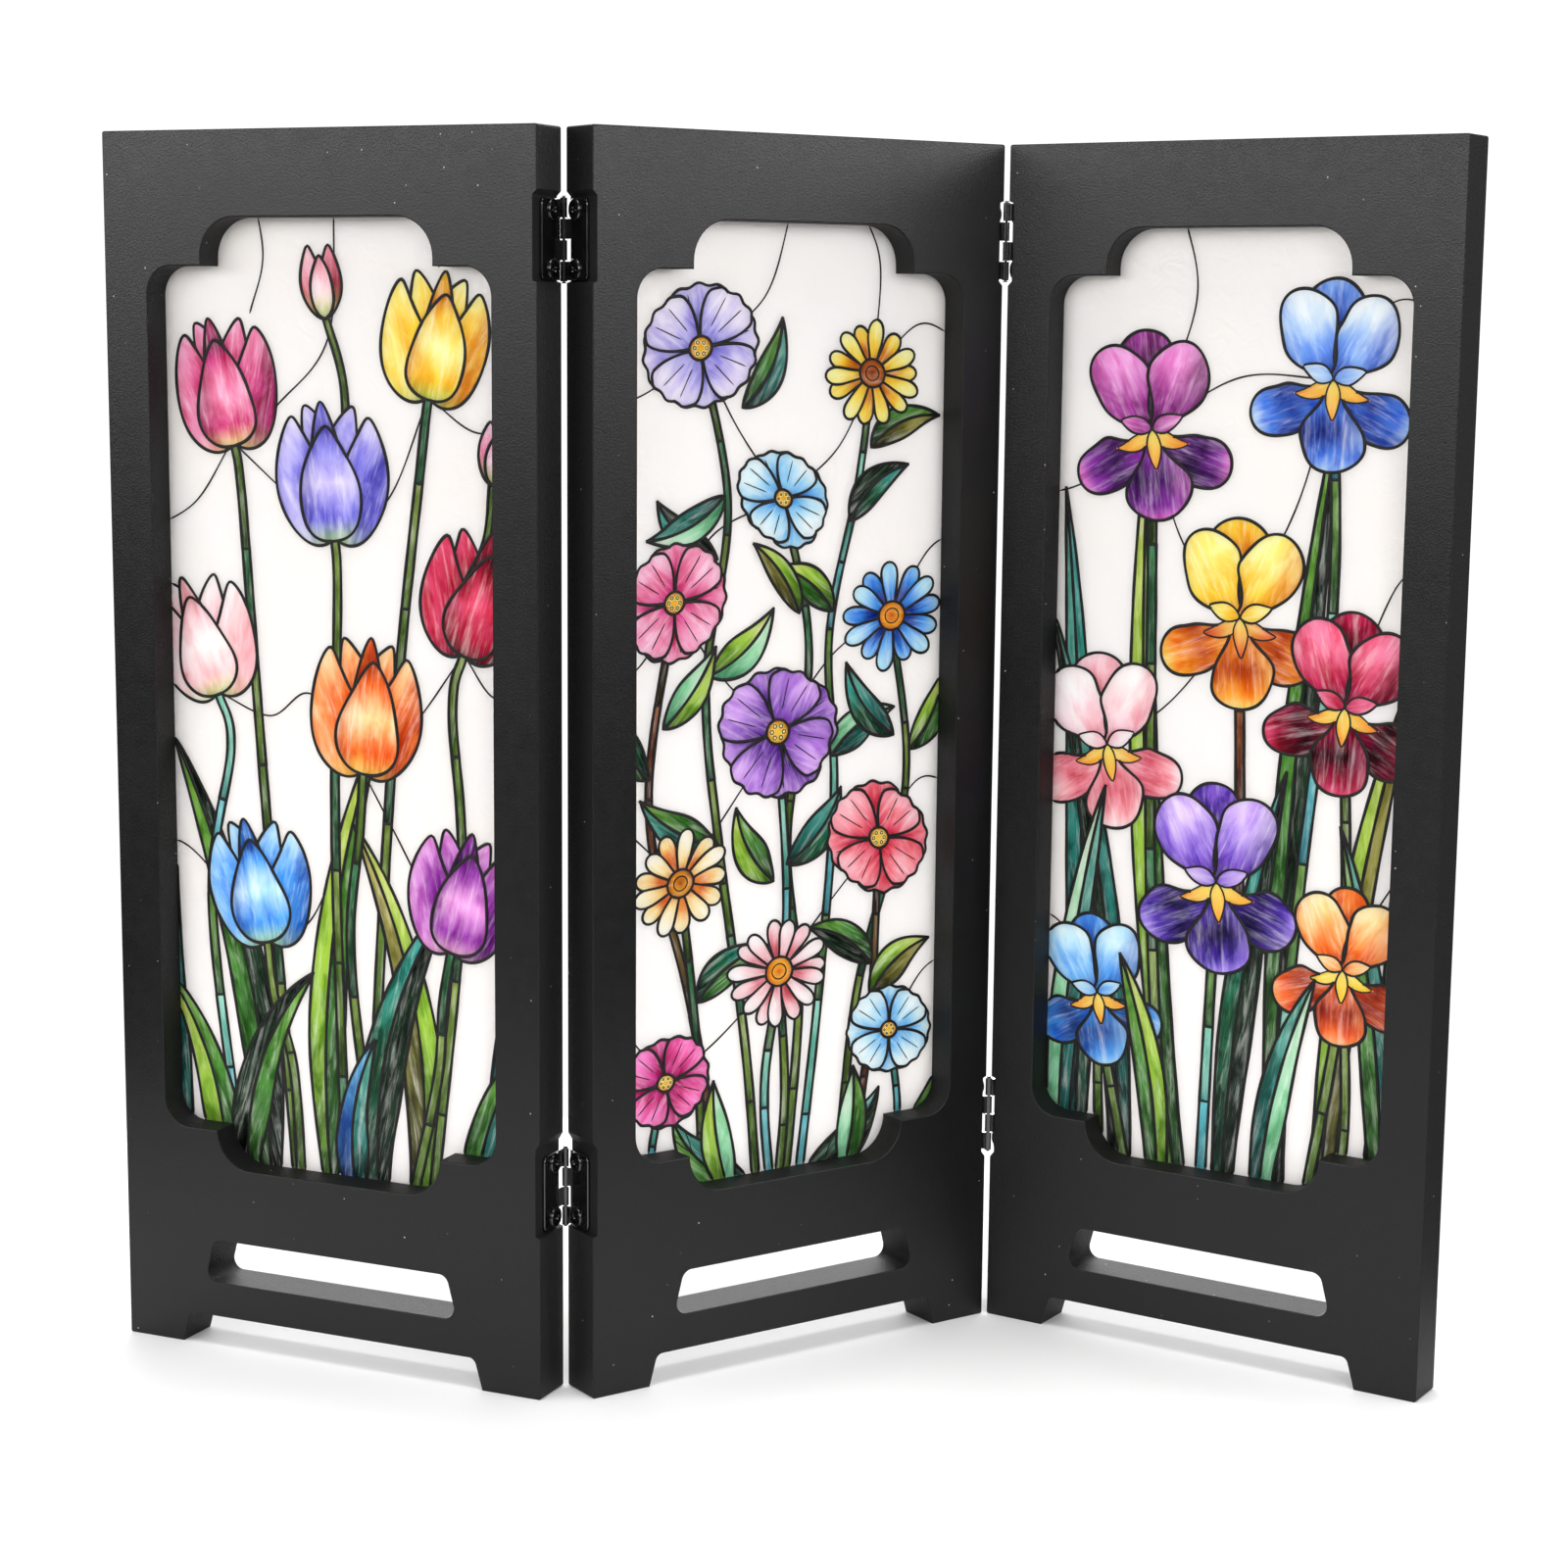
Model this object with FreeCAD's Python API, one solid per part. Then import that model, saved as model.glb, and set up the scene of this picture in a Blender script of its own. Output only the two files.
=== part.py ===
import FreeCAD, Part
import math
import os

# Three-panel folding desk screen: three routed boards, each with a decorated
# pane held in a rear rabbet by a screwed retainer, joined edge to edge by four
# small butt hinges so that the screen stands in a zigzag and folds flat.
# All sizes in millimetres. Every board is drawn in its own frame (x along its
# width, y from its front face to its back face, z up) and then stood in place.

V = FreeCAD.Vector

# --- board ---------------------------------------------------------------
H = 300.0          # height
W = 118.0          # width
T = 12.0           # thickness
EASE = 0.3         # eased arris on both faces
TOP_R = 0.6        # top corners seen from the front

FOOT_IN = 16.0     # width of each foot at the floor
ARCH_H = 7.8       # height of the arch between the feet
ARCH_LEAN = 2.2    # how far the feet lean inwards up to the arch
ARCH_R = 2.0

SLOT_Z0, SLOT_Z1 = 16.7, 27.6       # hand slot, bottom and top
SLOT_BOT0, SLOT_TOP0 = 22.9, 25.8   # its left end at the bottom and at the top
SLOT_R = 2.8

WIN_X0, WIN_Z0, WIN_Z1, WIN_R = 11.95, 56.0, 268.2, 7.0   # wide part of the window
WIN_X2, WIN_Z2, WIN_Z3, WIN_R2 = 27.3, 46.5, 279.6, 9.5   # raised and lowered middle part

# --- pane, rabbet and retainer --------------------------------------------
PANE_D = 7.7       # front of the pane, from the front face
PANE_T = 2.5
LIP = 4.0          # how far the pane runs behind the window's edge
GAP = 0.15         # all round the pane and the retainer
POCKET_R = 6.0
RETAINER_SINK = 0.1
RSCREW_X = 15.6    # retainer screws, in the stepped corners
RSCREW_Z0, RSCREW_Z1 = 47.3, 278.1
RSCREW_HEAD_R, RSCREW_R, RSCREW_TIP_D = 2.0, 1.0, 4.0

# --- hinges ----------------------------------------------------------------
PIN_OUT = 0.2      # pin axis beyond each board's edge
PIN_OFF = 0.75     # pin axis beyond the hinged face
BARREL_R = 0.85
BARREL_H = 19.3
PIN_R = 0.35
RUN_CLEAR = 0.04   # radial clearance in the turning leaf
AXIAL = 0.12       # end play on each side of a knuckle
LEAF_T = 0.8
FLOOR = 1.4        # mortise floor from the pin axis
LEAF_H = 18.5
LEAF_W = 8.7       # leaf width on the board's edge
LEAF_R = 1.5
KNUCKLES = 4
LEAF_RIM = 0.25    # rounded edge of the leaf
NOTCH_FIT = 0.06   # clear space round a knuckle where the other leaf is cut to fit it
# Each hinge: middle of the hinge; bottom and top of its mortise at the surface; how far the
# mortise's bottom and top slope; clear space in front of the other leaf's knuckles in the
# outer leaf and in the inner leaf (0 where the leaf is cut to fit them).
HINGES = {
    ("left", "upper"): (274.5, 264.65, 285.5, 0.45, 1.2, 0.0, 1.6),
    ("left", "lower"): (49.9, 40.1, 63.6, 0.4, 2.0, 1.6, 0.49),
    ("right", "upper"): (276.4, 265.5, 286.3, 1.2, 0.45, 1.35, 1.08),
    ("right", "lower"): (54.0, 42.3, 63.9, 1.5, 0.45, 1.15, 0.85),
}
HSCREW_DZ = 6.75   # hinge screws above and below the hinge's middle
HSCREW_Q = 3.25    # and in from the hinged face
HSCREW_HEAD_R, HSCREW_R = 2.5, 1.0
HSCREW_HEAD_H = 0.45   # pan head on the leaf, with a rounded rim
HSCREW_RIM = 0.36
HSCREW_TIP = 6.7   # how far the screws reach into the edge

# --- stance ------------------------------------------------------------------
LEFT_A, CENTRE_A, RIGHT_A = -23.4, 34.2, -32.6   # direction of each board, degrees from +X
CENTRE_O = (-41.867, -37.621)                    # centre board's left front corner

MORT_D = FLOOR - PIN_OUT
PANE_BACK = PANE_D + PANE_T


def rounded(points, radii, y0, y1):
    """Prism between y0 and y1 on an x-z outline with rounded corners."""
    n = len(points)
    starts, ends, mids = [], [], []
    for i in range(n):
        p = V(points[i][0], y0, points[i][1])
        a = V(points[i - 1][0], y0, points[i - 1][1])
        b = V(points[(i + 1) % n][0], y0, points[(i + 1) % n][1])
        r = radii[i]
        if r <= 0:
            starts.append(p)
            ends.append(p)
            mids.append(None)
            continue
        da, db = (a - p).normalize(), (b - p).normalize()
        half = math.acos(max(-1, min(1, da.dot(db)))) / 2
        t = r / math.tan(half)
        c = p + (da + db).normalize() * (r / math.sin(half))
        starts.append(p + da * t)
        ends.append(p + db * t)
        mids.append(c + (p - c).normalize() * r)
    edges = []
    for i in range(n):
        if mids[i] is not None:
            edges.append(Part.Arc(starts[i], mids[i], ends[i]).toShape())
        j = (i + 1) % n
        if (starts[j] - ends[i]).Length > 1e-6:
            edges.append(Part.LineSegment(ends[i], starts[j]).toShape())
    return Part.Face(Part.Wire(edges)).extrude(V(0, y1 - y0, 0))


def stepped(off, r_out, r_mid, y0, y1):
    """Prism on the window's stepped outline, grown by off."""
    x0, x1 = WIN_X0 - off, W - WIN_X0 + off
    x2, x3 = WIN_X2 - off, W - WIN_X2 + off
    z0, z1 = WIN_Z0 - off, WIN_Z1 + off
    z2, z3 = WIN_Z2 - off, WIN_Z3 + off
    pts = [(x0, z0), (x2, z0), (x2, z2), (x3, z2), (x3, z0), (x1, z0),
           (x1, z1), (x3, z1), (x3, z3), (x2, z3), (x2, z1), (x0, z1)]
    rad = [r_out, 0, r_mid, r_mid, 0, r_out, r_out, 0, r_mid, r_mid, 0, r_out]
    return rounded(pts, rad, y0, y1)


def box_outline(off, r, y0, y1):
    x0, x1 = WIN_X0 - off, W - WIN_X0 + off
    z0, z1 = WIN_Z2 - off, WIN_Z3 + off
    return rounded([(x0, z0), (x1, z0), (x1, z1), (x0, z1)], [r] * 4, y0, y1)


def face_edges(shape, planes):
    """Edges that lie in one of the given y planes."""
    found = []
    for e in shape.Edges:
        b = e.BoundBox
        if any(abs(b.YMin - y) < 1e-4 and abs(b.YMax - y) < 1e-4 for y in planes):
            found.append(e)
    return found


def cone_screw(head_r, shank_r, length, tip):
    """Countersunk screw along +Z: head top at z = 0, tip at z = length."""
    k = head_r - shank_r
    body = Part.makeCone(head_r, shank_r, k, V(0, 0, 0), V(0, 0, 1))
    body = body.fuse(Part.makeCylinder(shank_r, length - tip - k, V(0, 0, k)))
    body = body.fuse(Part.makeCone(shank_r, 0.2, tip, V(0, 0, length - tip)))
    return body.removeSplitter()


def cross(size, width, depth, top):
    """Cross recess, cut from z = top down to z = top + depth."""
    a = Part.makeBox(size, width, depth, V(-size / 2, -width / 2, top))
    b = Part.makeBox(width, size, depth, V(-width / 2, -size / 2, top))
    core = Part.makeCone(size * 0.26, 0.1, depth * 1.5, V(0, 0, top), V(0, 0, 1))
    return a.fuse(b).fuse(core)


def turn(shape, direction, at):
    """Stand a shape made along +Z so that +Z runs along direction from at."""
    s = shape.copy()
    s.Placement = FreeCAD.Placement(at, FreeCAD.Rotation(V(0, 0, 1), direction))
    return s


# --- retainer screws, along the board's depth towards the front ---------------
def retainer_screws():
    top = T - RETAINER_SINK
    length = top - RSCREW_TIP_D
    plain = cone_screw(RSCREW_HEAD_R, RSCREW_R, length, 1.4)
    cut = plain.cut(cross(2.2, 0.5, 0.7, -0.01))
    spots = [(x, z) for x in (RSCREW_X, W - RSCREW_X) for z in (RSCREW_Z0, RSCREW_Z1)]
    return ([turn(plain, V(0, -1, 0), V(x, top, z)) for x, z in spots],
            [turn(cut, V(0, -1, 0), V(x, top, z)) for x, z in spots])


# --- hinge pieces, drawn at one edge of a board --------------------------------
# sx points from the pin into the board along its width, sy along its depth.
def edge_frame(side, face):
    sx = 1 if side == "left" else -1
    sy = 1 if face == "front" else -1
    ax = -PIN_OUT if side == "left" else W + PIN_OUT
    ay = -PIN_OFF if face == "front" else T + PIN_OFF
    return ax, ay, sx, sy


def hinge_screws(side, face, zc):
    """Pan-head screws: plain shanks for the holes, then the whole screws."""
    ax, ay, sx, sy = edge_frame(side, face)
    top = FLOOR - LEAF_T
    length = PIN_OUT + HSCREW_TIP - top
    shank = Part.makeCylinder(HSCREW_R, length - 1.2, V(0, 0, 0))
    plain = shank.fuse(Part.makeCone(HSCREW_R, 0.2, 1.2, V(0, 0, length - 1.2))).removeSplitter()
    head = Part.makeCylinder(HSCREW_HEAD_R, HSCREW_HEAD_H, V(0, 0, -HSCREW_HEAD_H))
    rim = [e for e in head.Edges if abs(e.BoundBox.ZMin + HSCREW_HEAD_H) < 1e-6 and abs(e.BoundBox.ZMax + HSCREW_HEAD_H) < 1e-6]
    head = head.makeFillet(HSCREW_RIM, rim)
    cut = plain.fuse(head).removeSplitter().cut(cross(2.8, 0.6, 1.0, -HSCREW_HEAD_H - 0.02))
    at = [V(ax + sx * top, ay + sy * (PIN_OFF + HSCREW_Q), zc + dz) for dz in (-HSCREW_DZ, HSCREW_DZ)]
    return [turn(plain, V(sx, 0, 0), p) for p in at], [turn(cut, V(sx, 0, 0), p) for p in at]


def slab(p0, p1, q0, q1, z0, z1, frame):
    ax, ay, sx, sy = frame
    xs = sorted((ax + sx * p0, ax + sx * p1))
    ys = sorted((ay + sy * q0, ay + sy * q1))
    return Part.makeBox(xs[1] - xs[0], ys[1] - ys[0], z1 - z0, V(xs[0], ys[0], z0))


def leaf(side, face, zc, own, bore, notch):
    """One hinge leaf: plate on the mortise floor with its own knuckles rolled at the pin."""
    frame = edge_frame(side, face)
    ax, ay, sx, sy = frame
    q_end = PIN_OFF + LEAF_W
    p_in, p_out = FLOOR - LEAF_T, FLOOR
    plate = slab(p_in, p_out, 0, q_end, zc - LEAF_H / 2, zc + LEAF_H / 2, frame)
    far = [e for e in plate.Edges
           if abs(e.BoundBox.YMin - (ay + sy * q_end)) < 1e-6 and abs(e.BoundBox.YMax - (ay + sy * q_end)) < 1e-6
           and e.BoundBox.XLength > 0.1]
    plate = plate.makeFillet(LEAF_R, far)
    rim = [e for e in plate.Edges
           if abs(e.BoundBox.XMin - (ax + sx * p_in)) < 1e-6 and abs(e.BoundBox.XMax - (ax + sx * p_in)) < 1e-6
           and not (abs(e.BoundBox.YMin - ay) < 1e-6 and abs(e.BoundBox.YMax - ay) < 1e-6)]
    plate = plate.makeFillet(LEAF_RIM, rim)
    cell = BARREL_H / KNUCKLES
    barrel = []
    for i in range(KNUCKLES):
        top = zc + BARREL_H / 2 - i * cell
        if i in own:
            low, high = top - cell + AXIAL, top - AXIAL
            barrel.append(Part.makeCylinder(BARREL_R, high - low, V(ax, ay, low)))
            # the strap that runs from the plate round the knuckle
            barrel.append(slab(0, p_in + 0.1, 0, BARREL_R, max(low, zc - LEAF_H / 2), min(high, zc + LEAF_H / 2), frame))
        elif notch > 0:
            plate = plate.cut(slab(-BARREL_R, p_out + 0.1, -BARREL_R, BARREL_R + notch,
                                   top - cell - AXIAL, top + AXIAL, frame))
        else:
            plate = plate.cut(Part.makeCylinder(BARREL_R + NOTCH_FIT, cell + 2 * AXIAL, V(ax, ay, top - cell - AXIAL)))
            plate = plate.cut(slab(-BARREL_R, p_out + 0.1, -BARREL_R, 0.3, top - cell - AXIAL, top + AXIAL, frame))
    body = plate
    for b in barrel:
        body = body.fuse(b)
    body = body.cut(Part.makeCylinder(bore, BARREL_H + 2, V(ax, ay, zc - BARREL_H / 2 - 1)))
    for s in hinge_screws(side, face, zc)[0]:
        body = body.cut(s)
    return body.removeSplitter()


def pin(side, face, zc):
    ax, ay, sx, sy = edge_frame(side, face)
    body = Part.makeCylinder(PIN_R, BARREL_H, V(ax, ay, zc - BARREL_H / 2))
    for s in (-1, 1):
        base = V(ax, ay, zc + s * BARREL_H / 2)
        head = Part.makeCone(0.62, 0.4, 0.3, base, V(0, 0, s))
        body = body.fuse(head)
    return body.removeSplitter()


def mortise(side, z0, z1, r0, r1):
    """Shallow cut across a board's edge, open from z0 to z1 at the surface, with sloped ends."""
    x = 0.0 if side == "left" else W
    d = MORT_D if side == "left" else -MORT_D
    o = -1.0 if side == "left" else 1.0
    pts = [(x + o, z0 - r0 / MORT_D), (x + d, z0 + r0), (x + d, z1 - r1), (x + o, z1 + r1 / MORT_D)]
    if side == "right":
        pts = pts[::-1]
    return rounded(pts, [0, 0.1, 0.1, 0], -1, T + 1)


# --- boards -----------------------------------------------------------------------
def board(edges):
    """edges lists (side, face, fold) for each hinged edge."""
    lean = ARCH_LEAN
    outline = [(0, 0), (FOOT_IN, 0), (FOOT_IN + lean, ARCH_H), (W - FOOT_IN - lean, ARCH_H),
               (W - FOOT_IN, 0), (W, 0), (W, H), (0, H)]
    body = rounded(outline, [TOP_R, 0, ARCH_R, ARCH_R, 0, TOP_R, TOP_R, TOP_R], 0, T)
    body = body.cut(stepped(0, WIN_R, WIN_R2, -1, T + 1))
    body = body.cut(rounded([(SLOT_BOT0, SLOT_Z0), (W - SLOT_BOT0, SLOT_Z0),
                             (W - SLOT_TOP0, SLOT_Z1), (SLOT_TOP0, SLOT_Z1)], [SLOT_R] * 4, -1, T + 1))
    body = body.makeFillet(EASE, face_edges(body, (0, T)))
    body = body.cut(stepped(LIP, POCKET_R, POCKET_R, PANE_D, T + 1))
    body = body.cut(box_outline(LIP, POCKET_R, PANE_BACK, T + 1))
    for side, face, fold in edges:
        for level in ("upper", "lower"):
            zc, z0, z1, r0, r1 = HINGES[fold, level][:5]
            body = body.cut(mortise(side, z0, z1, r0, r1))
            for s in hinge_screws(side, face, zc)[0]:
                body = body.cut(s)
    for s in retainer_screws()[0]:
        body = body.cut(s)
    return body.removeSplitter()


def pane():
    return stepped(LIP - GAP, POCKET_R - GAP, POCKET_R - GAP, PANE_D, PANE_BACK)


def retainer():
    y1 = T - RETAINER_SINK
    body = box_outline(LIP - GAP, POCKET_R - GAP, PANE_BACK, y1)
    body = body.cut(stepped(0.2, WIN_R, WIN_R2, PANE_BACK - 1, T + 1))
    body = body.makeFillet(0.35, face_edges(body, (y1,)))
    for s in retainer_screws()[0]:
        body = body.cut(s)
    return body.removeSplitter()


# --- standing the boards in their zigzag --------------------------------------------
def direction(a):
    a = math.radians(a)
    return V(math.cos(a), math.sin(a), 0), V(-math.sin(a), math.cos(a), 0)


uc, dc = direction(CENTRE_A)
ul, dl = direction(LEFT_A)
ur, dr = direction(RIGHT_A)
centre_o = V(CENTRE_O[0], CENTRE_O[1], 0)
left_pin = centre_o - uc * PIN_OUT + dc * (T + PIN_OFF)
right_pin = centre_o + uc * (W + PIN_OUT) - dc * PIN_OFF
left_o = left_pin - ul * (W + PIN_OUT) - dl * (T + PIN_OFF)
right_o = right_pin + ur * PIN_OUT + dr * PIN_OFF
PLACES = {"left": (left_o, LEFT_A), "centre": (centre_o, CENTRE_A), "right": (right_o, RIGHT_A)}


def stand(shape, name):
    o, a = PLACES[name]
    s = shape.copy()
    s.rotate(V(0, 0, 0), V(0, 0, 1), a)
    s.translate(o)
    return s


EDGES = {"left": [("right", "back", "left")], "centre": [("left", "back", "left"), ("right", "front", "right")],
         "right": [("left", "front", "right")]}
nodes = {}
for name, edges in EDGES.items():
    nodes[name + "_board"] = [stand(board(edges), name)]
    nodes[name + "_pane"] = [stand(pane(), name)]
    nodes[name + "_retainer"] = [stand(retainer(), name)]
    nodes[name + "_retainer_screws"] = [stand(s, name) for s in retainer_screws()[1]]
    nodes[name + "_hinge_screws"] = [stand(s, name) for side, face, fold in edges for level in ("upper", "lower")
                                     for s in hinge_screws(side, face, HINGES[fold, level][0])[1]]

# Knuckles are counted from the top: the outer board's leaf has the first and third.
for fold, outer, outer_edge, inner_edge in (("left", "left", ("right", "back"), ("left", "back")),
                                            ("right", "right", ("left", "front"), ("right", "front"))):
    for level in ("upper", "lower"):
        zc, notch_out, notch_in = HINGES[fold, level][0], HINGES[fold, level][5], HINGES[fold, level][6]
        base = fold + "_" + level + "_hinge_"
        nodes[base + "outer_leaf"] = [stand(leaf(*outer_edge, zc, (0, 2), PIN_R + RUN_CLEAR, notch_out), outer)]
        nodes[base + "inner_leaf"] = [stand(leaf(*inner_edge, zc, (1, 3), PIN_R, notch_in), "centre")]
        nodes[base + "pin"] = [stand(pin(*inner_edge, zc), "centre")]

os.makedirs("parts", exist_ok=True)
low, high = V(1e9, 1e9, 1e9), V(-1e9, -1e9, -1e9)
for name, solids in nodes.items():
    flat = [s for shape in solids for s in shape.Solids]
    for s in flat:
        assert s.isValid() and s.Volume > 0, name
    shape = flat[0] if len(flat) == 1 else Part.makeCompound(flat)
    shape.exportStep("parts/" + name + ".step")
    b = shape.optimalBoundingBox(False, False)
    low = V(min(low.x, b.XMin), min(low.y, b.YMin), min(low.z, b.ZMin))
    high = V(max(high.x, b.XMax), max(high.y, b.YMax), max(high.z, b.ZMax))
    print(name, len(flat), "solids", round(sum(s.Volume for s in flat), 2), "mm3")
print("box", [round(v, 3) for v in low], [round(v, 3) for v in high])
print("left pin", [round(v, 4) for v in left_pin], "right pin", [round(v, 4) for v in right_pin])
for name, (o, a) in PLACES.items():
    print(name, "corner", [round(v, 4) for v in o], "angle", a)
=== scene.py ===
import math
import random

import bpy
import numpy as np
from mathutils import Matrix, Vector
from mathutils.geometry import delaunay_2d_cdt


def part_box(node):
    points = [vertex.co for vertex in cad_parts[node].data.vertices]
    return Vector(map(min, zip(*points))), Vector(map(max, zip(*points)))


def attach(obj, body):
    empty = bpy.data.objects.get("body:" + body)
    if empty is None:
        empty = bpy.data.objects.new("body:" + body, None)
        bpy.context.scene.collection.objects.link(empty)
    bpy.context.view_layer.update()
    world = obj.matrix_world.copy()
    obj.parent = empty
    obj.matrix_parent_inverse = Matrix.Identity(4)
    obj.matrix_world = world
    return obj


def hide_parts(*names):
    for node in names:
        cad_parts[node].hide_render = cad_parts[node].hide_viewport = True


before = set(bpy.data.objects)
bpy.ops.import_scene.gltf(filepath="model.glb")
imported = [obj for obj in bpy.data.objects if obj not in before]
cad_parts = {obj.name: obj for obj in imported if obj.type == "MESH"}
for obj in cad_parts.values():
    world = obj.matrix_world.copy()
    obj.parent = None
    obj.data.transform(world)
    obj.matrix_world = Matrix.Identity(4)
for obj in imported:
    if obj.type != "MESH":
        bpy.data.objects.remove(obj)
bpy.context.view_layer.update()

# ----- the leaded-glass design, drawn flat: x across a board, y up it, millimetres -----


def lin(code):
    """Linear colour from an sRGB hex code."""
    v = [int(code[i:i + 2], 16) / 255 for i in (0, 2, 4)]
    return np.array([c / 12.92 if c <= 0.04045 else ((c + 0.055) / 1.055) ** 2.4 for c in v])


def smooth(a, b, t):
    t = np.clip((np.asarray(t, float) - a) / (b - a), 0, 1)
    return t * t * (3 - 2 * t)


PROFILES = {
    "tulip": lambda t: np.sin(np.pi * t ** 0.60) ** 0.70,
    "leaf": lambda t: np.sin(np.pi * t ** 0.78) ** 0.95,
    "strap": lambda t: (0.42 + 0.58 * smooth(0, 0.4, t)) * np.clip(1 - t ** 2.4, 0, 1) ** 0.85,
    "sword": lambda t: (0.62 + 0.38 * smooth(0, 0.5, t)) * np.clip(1 - t ** 3.2, 0, 1) ** 0.9,
    "round": lambda t: np.sin(np.pi * np.clip(t, 0, 1) ** 0.92) ** 0.55,
    "standard": lambda t: (0.20 + 0.80 * smooth(0.0, 0.52, t)) * np.sqrt(np.clip(1 - np.clip((t - 0.60) / 0.40, 0, 1) ** 2.4, 0, 1)),
    "fall": lambda t: (0.30 + 0.70 * smooth(0.16, 0.60, t)) * np.sqrt(np.clip(1 - np.clip((t - 0.64) / 0.36, 0, 1) ** 2.2, 0, 1)),
    "wedge": lambda t: (0.42 + 0.58 * smooth(0, 0.75, t)) * np.sqrt(np.clip(1 - np.clip((t - 0.72) / 0.28, 0, 1) ** 2.2, 0, 1)),
    "bud": lambda t: np.sin(np.pi * t ** 0.75) ** 0.8,
}


def vec(deg):
    a = math.radians(deg)
    return np.array([math.cos(a), math.sin(a)])


class Art:
    """Pieces of coloured glass from back to front, with the fine lines that lie on them."""

    def __init__(self, seed):
        self.rng = random.Random(seed)
        self.pieces = []
        self.lines = []   # (owner piece or -1 for the ground, points, width)

    def add(self, poly, org, axis, length, half, stops, streak=1.0, lw=0.85, side=None, radial=False):
        self.pieces.append({
            "poly": np.asarray(poly, float), "org": np.asarray(org, float), "axis": np.asarray(axis, float),
            "L": float(length), "half": float(half), "stops": [(t, lin(c)) for t, c in stops],
            "streak": streak, "lw": lw, "seed": self.rng.random(), "radial": radial,
            "side": None if side is None else (lin(side[0]), side[1], side[2]),
        })
        return len(self.pieces) - 1

    def spine(self, base, ang, length, bend, n):
        p0 = np.asarray(base, float)
        d = vec(ang)
        q = np.array([-d[1], d[0]])
        p2 = p0 + d * length
        p1 = (p0 + p2) / 2 + q * bend * length * 2
        t = (0.5 - 0.5 * np.cos(np.pi * np.linspace(0, 1, n)))[:, None]
        c = (1 - t) ** 2 * p0 + 2 * t * (1 - t) * p1 + t ** 2 * p2
        g = 2 * (1 - t) * (p1 - p0) + 2 * t * (p2 - p1)
        g /= np.linalg.norm(g, axis=1)[:, None]
        return t[:, 0], c, np.stack([-g[:, 1], g[:, 0]], 1)

    def blade(self, base, ang, length, width, prof, stops, bend=0.0, streak=1.0, lw=0.85, wob=0.05, n=26, warp=None, side=None, lean=0.0):
        """A petal or plain leaf about a bent spine."""
        t, c, nrm = self.spine(base, ang, length, bend, n)
        h = PROFILES[prof](t) * width / 2
        k1, k2 = self.rng.uniform(0, 6.28), self.rng.uniform(0, 6.28)
        hl = h * (1 + lean + wob * np.sin(7 * t + k1))
        hr = h * (1 - lean + wob * np.sin(8 * t + k2))
        left, right = c + nrm * hl[:, None], c - nrm * hr[:, None]
        poly = np.concatenate([right, left[::-1][1:-1]])
        if warp is not None:
            poly = warp(poly)
        return self.add(poly, base, vec(ang), length, width / 2, stops, streak, lw, side)

    def split_leaf(self, base, ang, length, width, prof, stops_l, stops_r, bend=0.0, lw=0.85, wob=0.06, n=34, veins=0, lean=0.0):
        """A leaf in two halves that meet at its midrib."""
        t, c, nrm = self.spine(base, ang, length, bend, n)
        h = PROFILES[prof](t) * width / 2
        k1, k2 = self.rng.uniform(0, 6.28), self.rng.uniform(0, 6.28)
        hl = h * (1 + lean + wob * np.sin(6 * t + k1))
        hr = h * (1 - lean + wob * np.sin(7 * t + k2))
        left, right = c + nrm * hl[:, None], c - nrm * hr[:, None]
        a = self.add(np.concatenate([c, left[::-1][1:-1]]), base, vec(ang), length, width / 2, stops_l, 1.0, lw)
        b = self.add(np.concatenate([right, c[::-1][1:-1]]), base, vec(ang), length, width / 2, stops_r, 1.0, lw)
        for i in range(veins):
            f = (i + 1) / (veins + 1.3)
            j, k = int(f * (n - 1)), int(min(0.97, f + 0.16) * (n - 1))
            self.lines.append((a, np.stack([c[j], (c[j] + left[k]) / 2 + nrm[j] * 0.25, c[k] + (left[k] - c[k]) * 0.97]), 0.34))
            self.lines.append((b, np.stack([c[j], (c[j] + right[k]) / 2 - nrm[j] * 0.25, c[k] + (right[k] - c[k]) * 0.97]), 0.34))
        return a, b

    def stem(self, points, w0, w1, colours, lw=0.8, cuts=26.0):
        """A stem along a smooth run through points, leaded across every cuts millimetres."""
        c = curve(points, 1.6)
        d = np.concatenate([[0], np.cumsum(np.linalg.norm(np.diff(c, axis=0), axis=1))])
        g = np.gradient(c, axis=0)
        g /= np.linalg.norm(g, axis=1)[:, None]
        nrm = np.stack([-g[:, 1], g[:, 0]], 1)
        h = (w0 + (w1 - w0) * d / d[-1]) / 2
        k = max(1, int(round(d[-1] / cuts)))
        marks = [0] + [int(np.searchsorted(d, d[-1] * (i + self.rng.uniform(-0.2, 0.2)) / k)) for i in range(1, k)] + [len(c) - 1]
        for i in range(k):
            s = slice(marks[i], marks[i + 1] + 1)
            if marks[i + 1] - marks[i] < 1:
                continue
            left, right = c[s] + nrm[s] * h[s][:, None], c[s] - nrm[s] * h[s][:, None]
            col = colours[i % len(colours)]
            run = c[s][-1] - c[s][0]
            ln = max(1e-6, np.linalg.norm(run))
            self.add(np.concatenate([right, left[::-1]]), c[s][0], run / ln, ln, w0 / 2, [(0, col[0]), (1, col[1])], 0.9, lw)

    def ground_line(self, points, width=0.5):
        self.lines.append((-1, curve(points, 1.2), width))

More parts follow.
